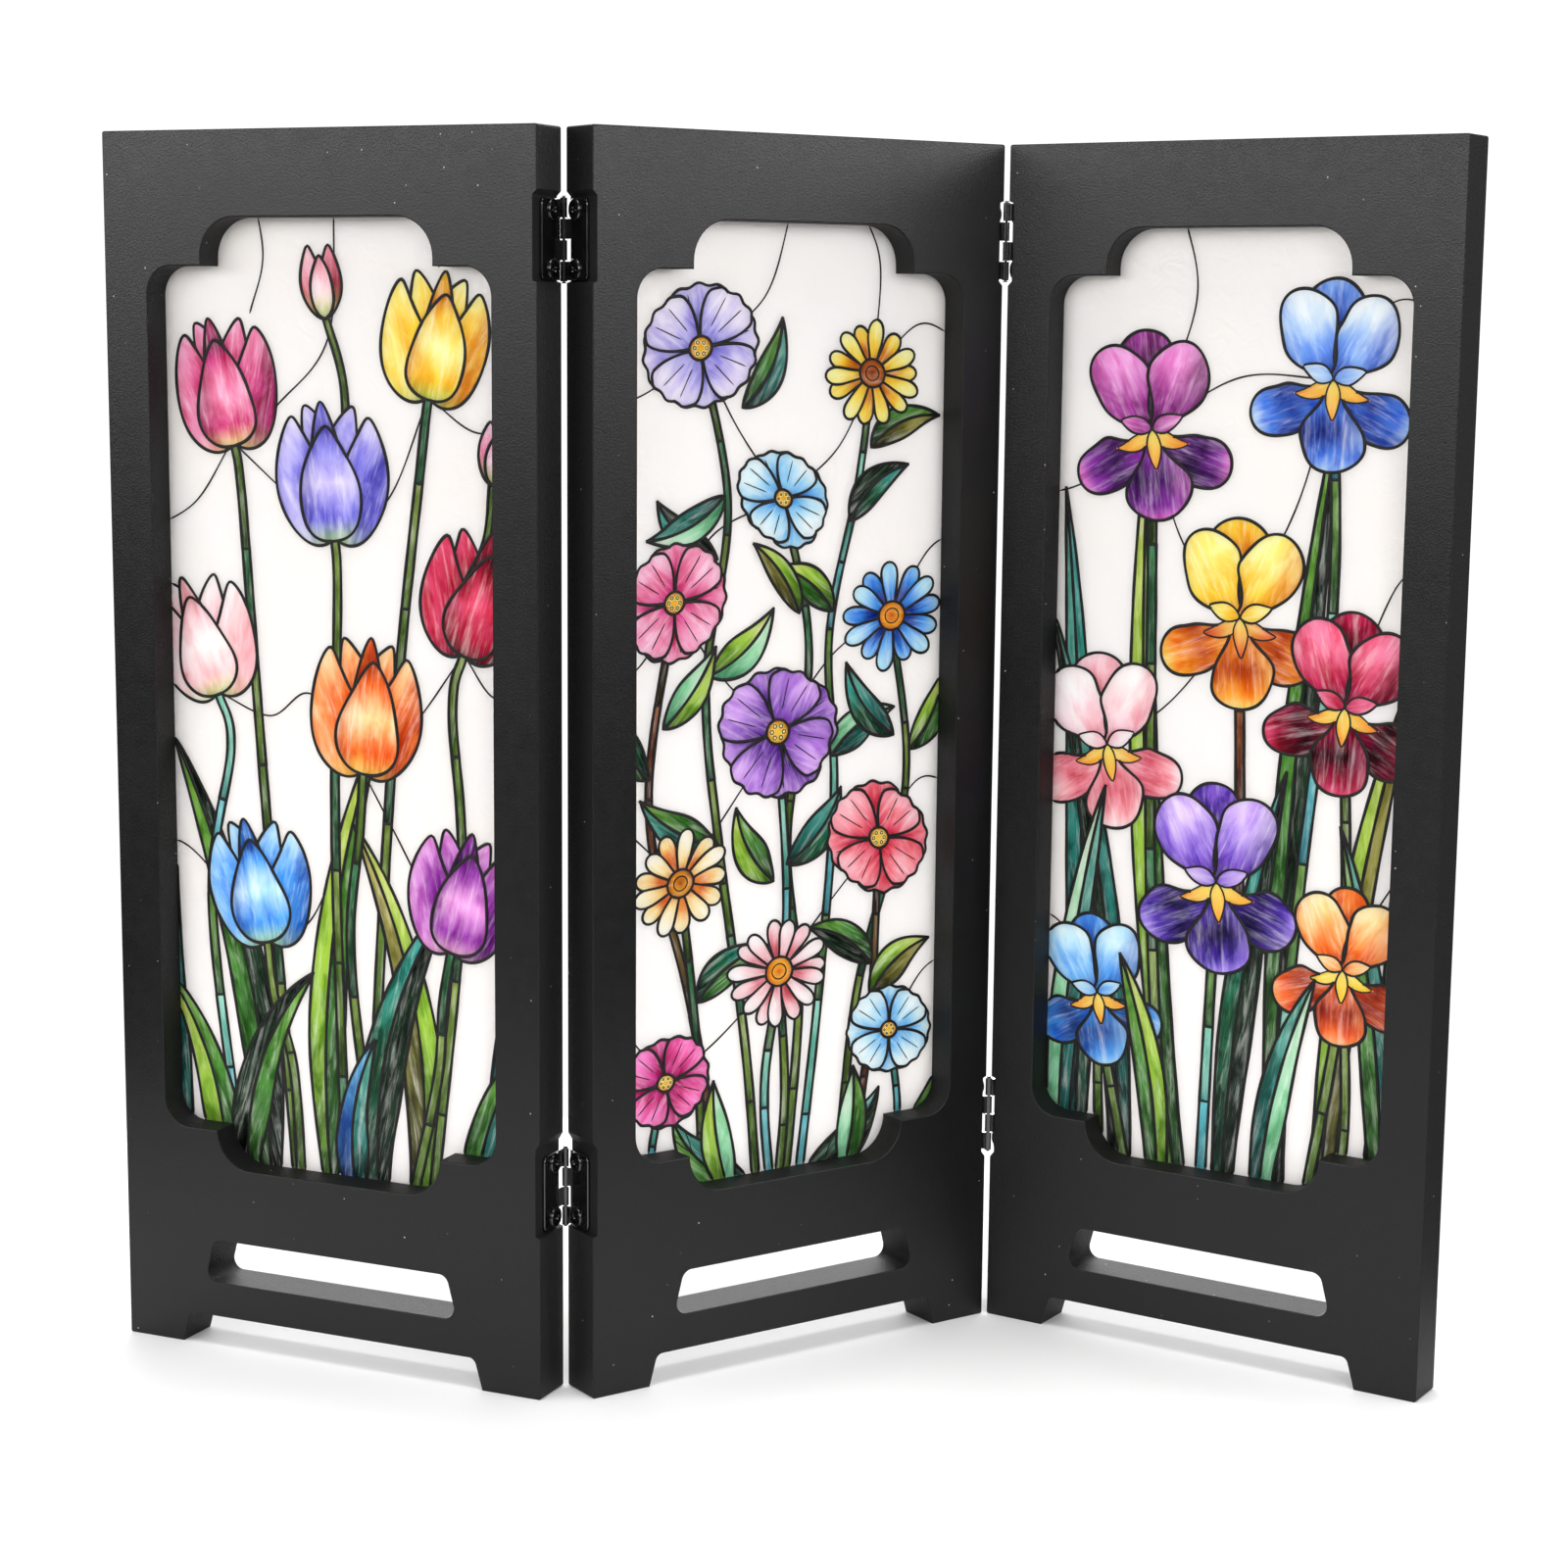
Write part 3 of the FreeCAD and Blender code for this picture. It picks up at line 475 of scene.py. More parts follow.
def right_design():
    """Irises among sword leaves."""
    art = Art(37)
    p = [(37, 231), (84, 244), (62, 186), (90, 166), (27, 152), (58, 120), (92, 102), (26, 88)]
    art.ground_line([(8, 214), (20, 218), p[0]])
    art.ground_line([p[0], (48, 262), (44, 284)])
    art.ground_line([p[0], (60, 244), p[1]])
    art.ground_line([p[1], (98, 262), (111, 260)])
    art.ground_line([p[2], (76, 214), p[1]])
    art.ground_line([p[2], (46, 204), p[0]])
    art.ground_line([p[3], (102, 196), (111, 200)])
    art.ground_line([p[2], (76, 176), p[3]])
    art.ground_line([(8, 176), (18, 172), p[4]])
    art.ground_line([p[4], (44, 164), p[2]])
    art.ground_line([p[5], (74, 136), p[3]])
    art.ground_line([p[5], (42, 142), p[4]])
    art.ground_line([p[6], (104, 124), (111, 128)])
    art.ground_line([(8, 108), (16, 104), p[7]])
    art.ground_line([p[7], (42, 108), p[5]])
    art.ground_line([p[5], (76, 100), p[6]])
    # far sword leaves
    art.split_leaf((20, 38), 92, 178, 9, "sword", G_TEAL, G_SEA, bend=-0.02)
    art.split_leaf((76, 38), 87, 206, 9, "sword", G_MID, G_DARK, bend=0.02)
    art.split_leaf((50, 38), 94, 196, 9, "sword", G_LIME, G_MID, bend=0.025)
    art.split_leaf((100, 38), 88, 170, 8.5, "sword", G_SEA, G_BLUE, bend=-0.025)
    art.stem([(46, 40), (40, 120), (38, 200), p[0]], 2.8, 2.2, STEM_G, cuts=28)
    art.stem([(74, 40), (80, 120), (86, 190), p[1]], 2.8, 2.2, STEM_T, cuts=28)
    art.stem([(60, 40), (64, 110), p[2]], 2.8, 2.2, STEM_B, cuts=26)
    iris(art, p[0], 45, ("5a0f63", "b03aa6", "f0b0e0", "4a0a6a", "8f2fa8", "e58fd8"), lean=5)
    iris(art, p[1], 44, ("2f5fc0", "8fb8f0", "e6f0fc", "1c3f9f", "4a86e0", "bfd8f8"), lean=-4)
    art.split_leaf((34, 38), 99, 150, 9, "sword", G_DARK, G_TEAL, bend=-0.03)
    art.split_leaf((88, 38), 82, 140, 9, "sword", G_LIME, G_OLIVE, bend=0.03)
    iris(art, p[2], 45, ("d78a12", "f6cf3a", "fdf2ac", "c25a10", "f0a428", "fbe08a"), lean=0, beard="d9481c")
    art.stem([(84, 40), (92, 100), p[3]], 2.6, 2.1, STEM_G, cuts=26)
    art.stem([(36, 40), (24, 100), p[4]], 2.6, 2.1, STEM_G, cuts=26)
    iris(art, p[3], 43, ("6a0c2e", "c41f5a", "f48fb0", "4a0620", "a0123f", "ea5f8f"), lean=-7)
    iris(art, p[4], 43, ("e39aa8", "f7d3da", "fdf2f2", "d9788c", "f2b8c0", "fbe4e6"), lean=7)
    art.split_leaf((62, 38), 83, 112, 9.5, "sword", G_SEA, G_DARK, bend=0.03)
    art.split_leaf((16, 38), 84, 104, 9, "sword", G_MINT, G_TEAL, bend=0.035)
    art.split_leaf((104, 38), 98, 100, 9, "sword", G_MID, G_TEAL, bend=-0.035)
    art.stem([(56, 40), (57, 80), p[5]], 2.8, 2.2, STEM_T, cuts=22)
    iris(art, p[5], 46, ("3f1a86", "8a5fd0", "dcc8f6", "2a0f66", "5a35b0", "b79cee"), lean=2)
    art.stem([(92, 40), (94, 66), p[6]], 2.4, 2.0, STEM_G, cuts=22)
    art.stem([(28, 40), (27, 60), p[7]], 2.4, 2.0, STEM_G, cuts=22)
    iris(art, p[6], 38, ("cf5a14", "f29a3a", "fde0b0", "a83410", "e8742a", "fbc48a"), lean=-5, beard="f8d23a")
    iris(art, p[7], 38, ("1f63b8", "6fb6ee", "d9effc", "154a96", "3f93dc", "a9d8f6"), lean=6)
    art.split_leaf((44, 38), 101, 62, 9, "sword", G_MID, G_LIME, bend=-0.05)
    art.split_leaf((72, 38), 78, 62, 9, "sword", G_TEAL, G_MINT, bend=0.05)
    return art

# ----- where the boards stand, as in the construction -----
MM = 0.001
W, T = 118.0, 12.0
PIN_OUT, PIN_OFF = 0.2, 0.75
ANGLES = {"left": -23.4, "centre": 34.2, "right": -32.6}
CENTRE_O = np.array([-41.867, -37.621])
PANE_FRONT, PANE_BACK = 7.7, 10.2


def along(name):
    return vec(ANGLES[name])


def across(name):
    return vec(ANGLES[name] + 90)


LEFT_PIN = CENTRE_O - along("centre") * PIN_OUT + across("centre") * (T + PIN_OFF)
RIGHT_PIN = CENTRE_O + along("centre") * (W + PIN_OUT) - across("centre") * PIN_OFF
CORNERS = {
    "centre": CENTRE_O,
    "left": LEFT_PIN - along("left") * (W + PIN_OUT) - across("left") * (T + PIN_OFF),
    "right": RIGHT_PIN + along("right") * PIN_OUT + across("right") * PIN_OFF,
}


def stand(name, u, d, z):
    """Board coordinates (across, into, up) in millimetres to metres in the row frame."""
    u, d, z = np.broadcast_arrays(np.asarray(u, float), np.asarray(d, float), np.asarray(z, float))
    xy = CORNERS[name] + u[:, None] * along(name) + d[:, None] * across(name)
    return np.column_stack([xy, z]) * MM


# ----- outlines of the pane and of the window -----
def rounded(points, radii, step=1.2):
    out = []
    n = len(points)
    for i in range(n):
        p, a, b = (np.array(points[j % n], float) for j in (i, i - 1, i + 1))
        r = radii[i]
        if r <= 0:
            out.append(p)
            continue
        da, db = (a - p) / np.linalg.norm(a - p), (b - p) / np.linalg.norm(b - p)
        half = math.acos(float(np.clip(da @ db, -1, 1))) / 2
        c = p + (da + db) / np.linalg.norm(da + db) * (r / math.sin(half))
        s, e = p + da * r / math.tan(half) - c, p + db * r / math.tan(half) - c
        t0 = math.atan2(s[1], s[0])
        sweep = (math.atan2(e[1], e[0]) - t0 + math.pi) % (2 * math.pi) - math.pi
        for k in range(13):
            t = t0 + sweep * k / 12
            out.append(c + r * np.array([math.cos(t), math.sin(t)]))
    dense = []
    for i in range(len(out)):
        p, q = out[i], out[(i + 1) % len(out)]
        k = max(1, int(round(np.linalg.norm(q - p) / step)))
        dense += [p + (q - p) * j / k for j in range(k)]
    return np.array(dense)


def stepped(off, r_out, r_mid):
    x0, x2, z0, z1, z2, z3 = 11.95 - off, 27.3 - off, 56.0 - off, 268.2 + off, 46.5 - off, 279.6 + off
    x1, x3 = W - x0, W - x2
    pts = [(x0, z0), (x2, z0), (x2, z2), (x3, z2), (x3, z0), (x1, z0), (x1, z1), (x3, z1), (x3, z3), (x2, z3), (x2, z1), (x0, z1)]
    return rounded(pts, [r_out, 0, r_mid, r_mid, 0, r_out, r_out, 0, r_mid, r_mid, 0, r_out])


PANE_LINE = stepped(3.85, 5.85, 5.85)
WINDOW_LINE = stepped(0.0, 7.0, 9.5)


def inside(poly, pts):
    """Which points lie inside a closed outline."""
    lo, hi = poly.min(0), poly.max(0)
    near = np.nonzero(((pts >= lo) & (pts <= hi)).all(1))[0]
    x, y = pts[near, 0], pts[near, 1]
    hit = np.zeros(len(near), bool)
    for (x0, y0), (x1, y1) in zip(poly, np.roll(poly, -1, 0)):
        if y0 != y1:
            hit ^= ((y0 > y) != (y1 > y)) & (x < (x1 - x0) * (y - y0) / (y1 - y0) + x0)
    found = np.zeros(len(pts), bool)
    found[near] = hit
    return found


# ----- cutting one pane into its pieces of glass -----
def cut_glass(art):
    """Triangles of the pane with the piece of glass each belongs to, and the leaded edges between pieces."""
    pts, edges, tags = [], [], []

    def path(p, closed, tag):
        k, n = len(pts), len(p)
        pts.extend((float(a), float(b)) for a, b in p)
        for i in range(n if closed else n - 1):
            edges.append((k + i, k + (i + 1) % n))
            tags.append(tag)

    path(PANE_LINE, True, -1)
    path(WINDOW_LINE, True, -1)
    for p in art.pieces:
        path(p["poly"], True, -1)
    for j, (owner, p, w) in enumerate(art.lines):
        path(p, False, j)
    rng = np.random.default_rng(5)
    gu, gz = np.meshgrid(np.arange(9, 110, 1.7), np.arange(44, 283, 1.7))
    grid = np.column_stack([gu.ravel(), gz.ravel()]) + rng.uniform(-0.4, 0.4, (gu.size, 2))
    covered = np.zeros(len(grid), bool)
    for p in art.pieces:
        covered |= inside(p["poly"], grid)
    grid = grid[covered & inside(PANE_LINE, grid)]
    pts.extend((float(a), float(b)) for a, b in grid)
    co, out_edges, tris, _, from_edges, _ = delaunay_2d_cdt([Vector(p) for p in pts], edges, [], 0, 1e-4, True)
    co = np.array([(v[0], v[1]) for v in co])
    tris = np.array([t for t in tris if len(t) == 3])
    a, b, c = co[tris[:, 0]], co[tris[:, 1]], co[tris[:, 2]]
    area = (b[:, 0] - a[:, 0]) * (c[:, 1] - a[:, 1]) - (b[:, 1] - a[:, 1]) * (c[:, 0] - a[:, 0])
    tris[area < 0] = tris[area < 0][:, ::-1]
    mid = (a + b + c) / 3
    keep = inside(PANE_LINE, mid) & (np.abs(area) > 1e-9)
    tris, mid = tris[keep], mid[keep]
    label = np.zeros(len(tris), int)
    for i, p in enumerate(art.pieces):
        label[inside(p["poly"], mid)] = i + 1
    seen = inside(WINDOW_LINE, mid)

    # the two triangles beside each edge
    ends = np.concatenate([tris[:, [0, 1]], tris[:, [1, 2]], tris[:, [2, 0]]])
    owner = np.tile(np.arange(len(tris)), 3)
    key = np.minimum(ends[:, 0], ends[:, 1]).astype(np.int64) * len(co) + np.maximum(ends[:, 0], ends[:, 1])
    order = np.argsort(key, kind="stable")
    key, owner, ends = key[order], owner[order], ends[order]
    veins = {}
    for (p, q), src in zip(out_edges, from_edges):
        for s in src:
            if 0 <= s < len(tags) and tags[s] >= 0:
                veins.setdefault(min(p, q) * len(co) + max(p, q), []).append(tags[s])
    lead, rim = [], []
    i = 0
    while i < len(key):
        if i + 1 < len(key) and key[i] == key[i + 1]:
            s, t = owner[i], owner[i + 1]
            if seen[s] and seen[t]:
                if label[s] != label[t]:
                    lead.append((int(ends[i, 0]), int(ends[i, 1]), art.pieces[max(label[s], label[t]) - 1]["lw"]))
                else:
                    for j in veins.get(int(key[i]), []):
                        if art.lines[j][0] + 1 == label[s] or (art.lines[j][0] == -1 and label[s] == 0):
                            lead.append((int(ends[i, 0]), int(ends[i, 1]), art.lines[j][2]))
                            break
            i += 2
        else:
            rim.append((int(ends[i, 0]), int(ends[i, 1])))
            i += 1
    return co, tris, label, lead, rim


def runs(lead):
    """Leaded edges joined into runs between junctions: (points, width, closed, free start, free end)."""
    at = {}
    for k, (a, b, w) in enumerate(lead):
        at.setdefault(a, []).append(k)
        at.setdefault(b, []).append(k)
    used = set()

    def stops(v):
        ks = at[v]
        return len(ks) != 2 or lead[ks[0]][2] != lead[ks[1]][2]

    def walk(v, k):
        path = [v]
        while True:
            used.add(k)
            a, b, _ = lead[k]
            v = b if v == a else a
            path.append(v)
            if stops(v):
                return path
            k2 = at[v][0] if at[v][1] == k else at[v][1]
            if k2 in used:
                return path
            k = k2

    out = []
    for v in sorted(at):
        if stops(v):
            for k in at[v]:
                if k not in used:
                    p = walk(v, k)
                    out.append((p, lead[k][2], False, len(at[p[0]]) == 1, len(at[p[-1]]) == 1))
    for k in range(len(lead)):
        if k not in used:
            p = walk(lead[k][0], k)
            out.append((p[:-1] if p[0] == p[-1] else p, lead[k][2], p[0] == p[-1], False, False))
    return out


def evened(p, step, closed):
    """A run with even spacing, its kinks eased a little."""
    q = np.concatenate([p, p[:1]]) if closed else p
    d = np.concatenate([[0], np.cumsum(np.linalg.norm(np.diff(q, axis=0), axis=1))])
    n = max(3 if closed else 1, int(round(d[-1] / step)))
    s = np.linspace(0, d[-1], n + 1)
    q = np.column_stack([np.interp(s, d, q[:, 0]), np.interp(s, d, q[:, 1])])
    if closed:
        q = q[:-1]
        return 0.5 * q + 0.25 * (np.roll(q, 1, 0) + np.roll(q, -1, 0))
    if len(q) > 2:
        q[1:-1] = 0.5 * q[1:-1] + 0.25 * (q[:-2] + q[2:])
    return q


SECTION = np.array([(-0.50, None), (-0.41, 0.66), (0.0, 1.0), (0.41, 0.66), (0.50, None)], dtype=object)


def lead_strips(art, co, lead, rng):
    """Low rounded strips along every run, on the front and on the back of the pane."""
    verts, faces, flat = [], [], []
    for side, step in (("front", 0.85), ("back", 1.25)):
        base = PANE_FRONT if side == "front" else PANE_BACK
        out = -1.0 if side == "front" else 1.0
        for path, width, closed, free0, free1 in runs(lead):
            p = evened(co[path], step, closed)
            n = len(p)
            g = np.roll(p, -1, 0) - np.roll(p, 1, 0) if closed else np.gradient(p, axis=0)
            g /= np.maximum(np.linalg.norm(g, axis=1), 1e-9)[:, None]
            q = np.column_stack([-g[:, 1], g[:, 0]])
            w = width * (1 + 0.10 * np.sin(np.linspace(0, 1.1 * n * step / 3.0, n) + rng.uniform(0, 6.28)) + rng.uniform(-0.05, 0.05))
            h = (0.17 if width > 0.6 else 0.11) * rng.uniform(0.92, 1.08) * np.ones(n)
            if not closed:
                reach = 0.30 * width
                if free0:
                    w[0] *= 0.35
                    h[0] *= 0.5
                else:
                    p[0] = p[0] - g[0] * reach
                if free1:
                    w[-1] *= 0.35
                    h[-1] *= 0.5
                else:
                    p[-1] = p[-1] + g[-1] * reach
            k = len(verts)
            m = len(SECTION)
            for i in range(n):
                for x, y in SECTION:
                    u, z = p[i] + q[i] * (x * w[i])
                    d = base + out * (h[i] * y if y is not None else -0.08)
                    verts.append((u, d, z))
            for i in range(n if closed else n - 1):
                j = (i + 1) % n
                for s in range(m):
                    e = (s + 1) % m
                    quad = (k + i * m + s, k + j * m + s, k + j * m + e, k + i * m + e)
                    faces.append(quad if side == "back" else quad[::-1])
                    flat.append(s == m - 1)
            if not closed:
                caps = [tuple(k + s for s in range(m)), tuple(k + (n - 1) * m + s for s in range(m))[::-1]]
                for c in caps:
                    faces.append(c if side == "back" else c[::-1])
                    flat.append(True)
    return np.array(verts), faces, np.array(flat)


def tint(piece, pts):
    """Colour of a piece of glass at points: along it by its stops, then towards its tinted side."""
    d = pts - piece["org"]
    q = np.array([-piece["axis"][1], piece["axis"][0]])
    t = np.linalg.norm(d, axis=1) / piece["L"] if piece["radial"] else d @ piece["axis"] / piece["L"]
    stops = piece["stops"]
    col = np.column_stack([np.interp(t, [s[0] for s in stops], [s[1][k] for s in stops]) for k in range(3)])
    if piece["side"] is not None:
        k = (smooth(0.1, 1.0, d @ q / piece["half"] * piece["side"][2]) * piece["side"][1])[:, None]
        col = col * (1 - k) + piece["side"][0] * k
    return col, np.column_stack([d @ piece["axis"], d @ q])


WHITE = lin("ede9e7")
# painted shade and painted light on the sheets: the left sheet, which the lamps light most, is darkened and the centre
# sheet brightened so the three look evenly lit
SHEET_PAINTED_LIGHT_AND_SHADE = {"left": 0.96, "centre": 1.05, "right": 1.0}


def new_mesh(name, verts, faces):
    mesh = bpy.data.meshes.new(name)
    mesh.from_pydata(verts.tolist(), [], faces)
    mesh.update()
    obj = bpy.data.objects.new(name, mesh)
    bpy.context.scene.collection.objects.link(obj)
    return obj


def planar_map(mesh, u, z, back, aside):
    """Flat layout of the faces: fronts on the left, backs beside them, the rest small at the right."""
    k = 0.98 / 242.0
    x = 0.01 + (u - 8.0) * k + np.where(back, 0.44, 0.0)
    y = 0.01 + (z - 42.0) * k
    x = np.where(aside, 0.90 + (u - 8.0) * k * 0.2, x)
    y = np.where(aside, 0.01 + (z - 42.0) * k * 0.4 + np.where(back, 0.5, 0.0), y)
    uv = mesh.uv_layers.new(name="OFBake")
    uv.data.foreach_set("uv", np.column_stack([x, y]).astype(np.float32).ravel())


def glass_pane(name, art, glass, leading):
    co, tris, label, lead, rim = cut_glass(art)
    used = np.unique(tris)
    renum = np.full(len(co), -1)
    renum[used] = np.arange(len(used))
    n = len(used)
    u, z = co[used, 0], co[used, 1]
    verts = np.concatenate([stand(name, u, PANE_FRONT, z), stand(name, u, PANE_BACK, z)])
    front = renum[tris]
    back = front[:, ::-1] + n
    walls = [(renum[b], renum[a], renum[a] + n, renum[b] + n) for a, b in rim]
    faces = front.tolist() + back.tolist() + [tuple(int(v) for v in w) for w in walls]
    obj = new_mesh(name + "_art_glass", verts, faces)
    mesh = obj.data
    corner = np.zeros(len(mesh.loops), np.int32)
    mesh.loops.foreach_get("vertex_index", corner)
    flat = np.column_stack([u, z])[corner % n]
    m = len(tris)
    which = np.concatenate([np.repeat(label, 3), np.repeat(label, 3), np.zeros(4 * len(walls), int)])
    colour = np.ones((len(corner), 4))
    # the white ground carries its sheet's painted shade or painted light
    colour[:, :3] = np.array(WHITE) * SHEET_PAINTED_LIGHT_AND_SHADE[name]
    colour[:, 3] = 0.0
    flow = np.column_stack([flat[:, 1], flat[:, 0], np.zeros(len(corner))])
    for i in np.unique(which):
        if i == 0:
            continue
        piece = art.pieces[i - 1]
        at = np.nonzero(which == i)[0]
        col, run = tint(piece, flat[at])
        colour[at, :3] = col
        colour[at, 3] = piece["streak"]
        flow[at, :2] = run
        flow[at, 2] = piece["seed"] * 60 + 3
    a = mesh.attributes.new("tint", "FLOAT_COLOR", "CORNER")
    a.data.foreach_set("color", colour.astype(np.float32).ravel())
    a = mesh.attributes.new("flow", "FLOAT_VECTOR", "CORNER")
    a.data.foreach_set("vector", flow.astype(np.float32).ravel())
    is_back = np.zeros(len(corner), bool)
    is_back[3 * m:6 * m] = True
    is_wall = np.zeros(len(corner), bool)
    is_wall[6 * m:] = True
    planar_map(mesh, flat[:, 0], flat[:, 1], is_back | (is_wall & (corner >= n)), is_wall)
    mesh.materials.append(glass)
    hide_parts(name + "_pane")
    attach(obj, name + "_panel")

    rng = np.random.default_rng(len(lead))
    lv, lf, plain = lead_strips(art, co, lead, rng)
    strips = new_mesh(name + "_lead_lines", stand(name, lv[:, 0], lv[:, 1], lv[:, 2]), lf)
    mesh = strips.data
    mesh.polygons.foreach_set("use_smooth", ~plain)
    mesh.set_sharp_from_angle(angle=math.radians(62))
    corner = np.zeros(len(mesh.loops), np.int32)
    mesh.loops.foreach_get("vertex_index", corner)
    counts = np.zeros(len(mesh.polygons), np.int32)
    mesh.polygons.foreach_get("loop_total", counts)
    planar_map(mesh, lv[corner, 0], lv[corner, 2], lv[corner, 1] > (PANE_FRONT + PANE_BACK) / 2, np.repeat(plain, counts))
    mesh.materials.append(leading)
    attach(strips, name + "_panel")
    lo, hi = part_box(name + "_pane")
    off = max(abs(verts.min(0) - np.array(lo)).max(), abs(verts.max(0) - np.array(hi)).max())
    assert off < 2e-4, (name, off)
    print(name, "glass triangles", 2 * m, "lead faces", len(lf), "lead triangles", int((counts - 2).sum()))


# ----- materials -----
class Nodes:
    """A material's nodes, added and joined in short lines."""

    def __init__(self, name):
        self.mat = bpy.data.materials.new(name)
        self.mat.use_nodes = True
        self.tree = self.mat.node_tree
        self.tree.nodes.clear()
        self.out = self.tree.nodes.new("ShaderNodeOutputMaterial")
        self.shader = self.tree.nodes.new("ShaderNodeBsdfPrincipled")
        self.tree.links.new(self.shader.outputs["BSDF"], self.out.inputs["Surface"])

    def put(self, socket, value):
        if isinstance(value, bpy.types.NodeSocket):
            self.tree.links.new(value, socket)
        else:
            socket.default_value = value

    def node(self, kind, **settings):
        n = self.tree.nodes.new(kind)
        for k, v in settings.items():
            setattr(n, k, v)
        return n

    def millimetres(self):
        t = self.node("ShaderNodeTexCoord")
        m = self.node("ShaderNodeVectorMath", operation="SCALE")
        self.put(m.inputs[0], t.outputs["Object"])
        m.inputs["Scale"].default_value = 1000.0
        return m.outputs[0]

    def noise(self, vector, scale, detail=3.0, rough=0.5, distort=0.0):
        n = self.node("ShaderNodeTexNoise", noise_dimensions="3D")
        self.put(n.inputs["Vector"], vector)
        n.inputs["Scale"].default_value = scale
        n.inputs["Detail"].default_value = detail
        n.inputs["Roughness"].default_value = rough
        n.inputs["Distortion"].default_value = distort
        return n.outputs["Fac"]

    def remap(self, value, a, b, c=0.0, d=1.0):
        n = self.node("ShaderNodeMapRange", interpolation_type="SMOOTHSTEP")
        self.put(n.inputs["Value"], value)
        for k, v in zip(("From Min", "From Max", "To Min", "To Max"), (a, b, c, d)):
            n.inputs[k].default_value = v
        return n.outputs["Result"]

    def math(self, op, a, b=0.0):
        n = self.node("ShaderNodeMath", operation=op)
        self.put(n.inputs[0], a)
        self.put(n.inputs[1], b)
        return n.outputs[0]

    def mix(self, fac, a, b, blend="MIX"):
        n = self.node("ShaderNodeMix", data_type="RGBA", blend_type=blend)
        self.put(n.inputs["Factor"], fac)
        self.put(n.inputs[6], (*a, 1.0) if isinstance(a, (tuple, list)) and len(a) == 3 else a)
        self.put(n.inputs[7], (*b, 1.0) if isinstance(b, (tuple, list)) and len(b) == 3 else b)
        return n.outputs[2]

    def bump(self, height, strength, distance, under=None):
        n = self.node("ShaderNodeBump")
        n.inputs["Strength"].default_value = strength
        n.inputs["Distance"].default_value = distance
        self.put(n.inputs["Height"], height)
        if under is not None:
            self.put(n.inputs["Normal"], under)
        return n.outputs["Normal"]

    def set(self, **values):
        for k, v in values.items():
            self.put(self.shader.inputs[k.replace("_", " ")], v)
        return self.mat


def board_paint(name, panel):
    """Satin black paint on fibreboard: finely stippled on the faces, rougher where the board was sawn and routed."""
    m = Nodes(name)
    mm = m.millimetres()
    t = m.node("ShaderNodeTexCoord")
    dot = m.node("ShaderNodeVectorMath", operation="DOT_PRODUCT")
    m.put(dot.inputs[0], t.outputs["Normal"])
    dot.inputs[1].default_value = (*across(panel), 0.0)
    wall = m.remap(m.math("ABSOLUTE", dot.outputs["Value"]), 0.55, 0.97, 1.0, 0.0)
    fine = m.noise(mm, 4.2, 2.0, 0.5)
    stipple = m.noise(mm, 2.3, 2.0, 0.5)
    mid = m.noise(mm, 0.30, 3.0, 0.55)
    broad = m.noise(mm, 0.022, 3.0, 0.55)
    face = m.mix(m.remap(fine, 0.36, 0.66), (0.0016, 0.0016, 0.0017), (0.0042, 0.0042, 0.0043))
    face = m.mix(m.remap(broad, 0.35, 0.65, 0.0, 0.5), face, (0.0034, 0.0034, 0.0035))
    rout = m.mix(m.remap(m.noise(mm, 1.5, 5.0, 0.7), 0.38, 0.64), (0.0012, 0.0012, 0.0012), (0.0046, 0.0045, 0.0044))
    colour = m.mix(wall, face, rout)
    # scattered specks of dust
    v = m.node("ShaderNodeTexVoronoi", feature="F1", distance="EUCLIDEAN")
    m.put(v.inputs["Vector"], mm)
    v.inputs["Scale"].default_value = 0.25
    v.inputs["Randomness"].default_value = 1.0
    sep = m.node("ShaderNodeSeparateColor")
    m.put(sep.inputs[0], v.outputs["Color"])
    speck = m.math("MULTIPLY", m.remap(v.outputs["Distance"], 0.034, 0.056, 1.0, 0.0), m.remap(sep.outputs[0], 0.56, 0.58))
    colour = m.mix(m.math("MULTIPLY", speck, m.remap(sep.outputs[1], 0.0, 1.0, 0.10, 1.0)), colour, (0.52, 0.51, 0.49))
    rough = m.mix(wall, m.mix(m.remap(m.math("ADD", mid, broad), 0.7, 1.3), (0.285,) * 3, (0.335,) * 3), (0.60,) * 3)
    height = m.math("ADD", m.math("MULTIPLY", stipple, 0.7), m.math("MULTIPLY", fine, 0.3))
    normal = m.bump(height, 0.90, 0.00006)
    coarse = m.math("MULTIPLY", m.noise(mm, 1.1, 5.0, 0.75), wall)
    normal = m.bump(coarse, 0.70, 0.00025, normal)
    return m.set(Base_Color=colour, Roughness=rough, Normal=normal, Specular_IOR_Level=0.32)


def retainer_paint(name):
    """Matt black hardboard with a fine fibre mottling."""
    m = Nodes(name)
    mm = m.millimetres()
    fibre = m.noise(mm, 0.9, 5.0, 0.7, 0.6)
    fine = m.noise(mm, 3.2, 4.0, 0.65)
    colour = m.mix(m.remap(fibre, 0.34, 0.68), (0.0050, 0.0050, 0.0052), (0.0130, 0.0127, 0.0124))
    rough = m.remap(fine, 0.3, 0.7, 0.46, 0.60)
    normal = m.bump(m.math("ADD", fibre, m.math("MULTIPLY", fine, 0.5)), 0.45, 0.00012)
    return m.set(Base_Color=colour, Roughness=rough, Normal=normal, Specular_IOR_Level=0.34)


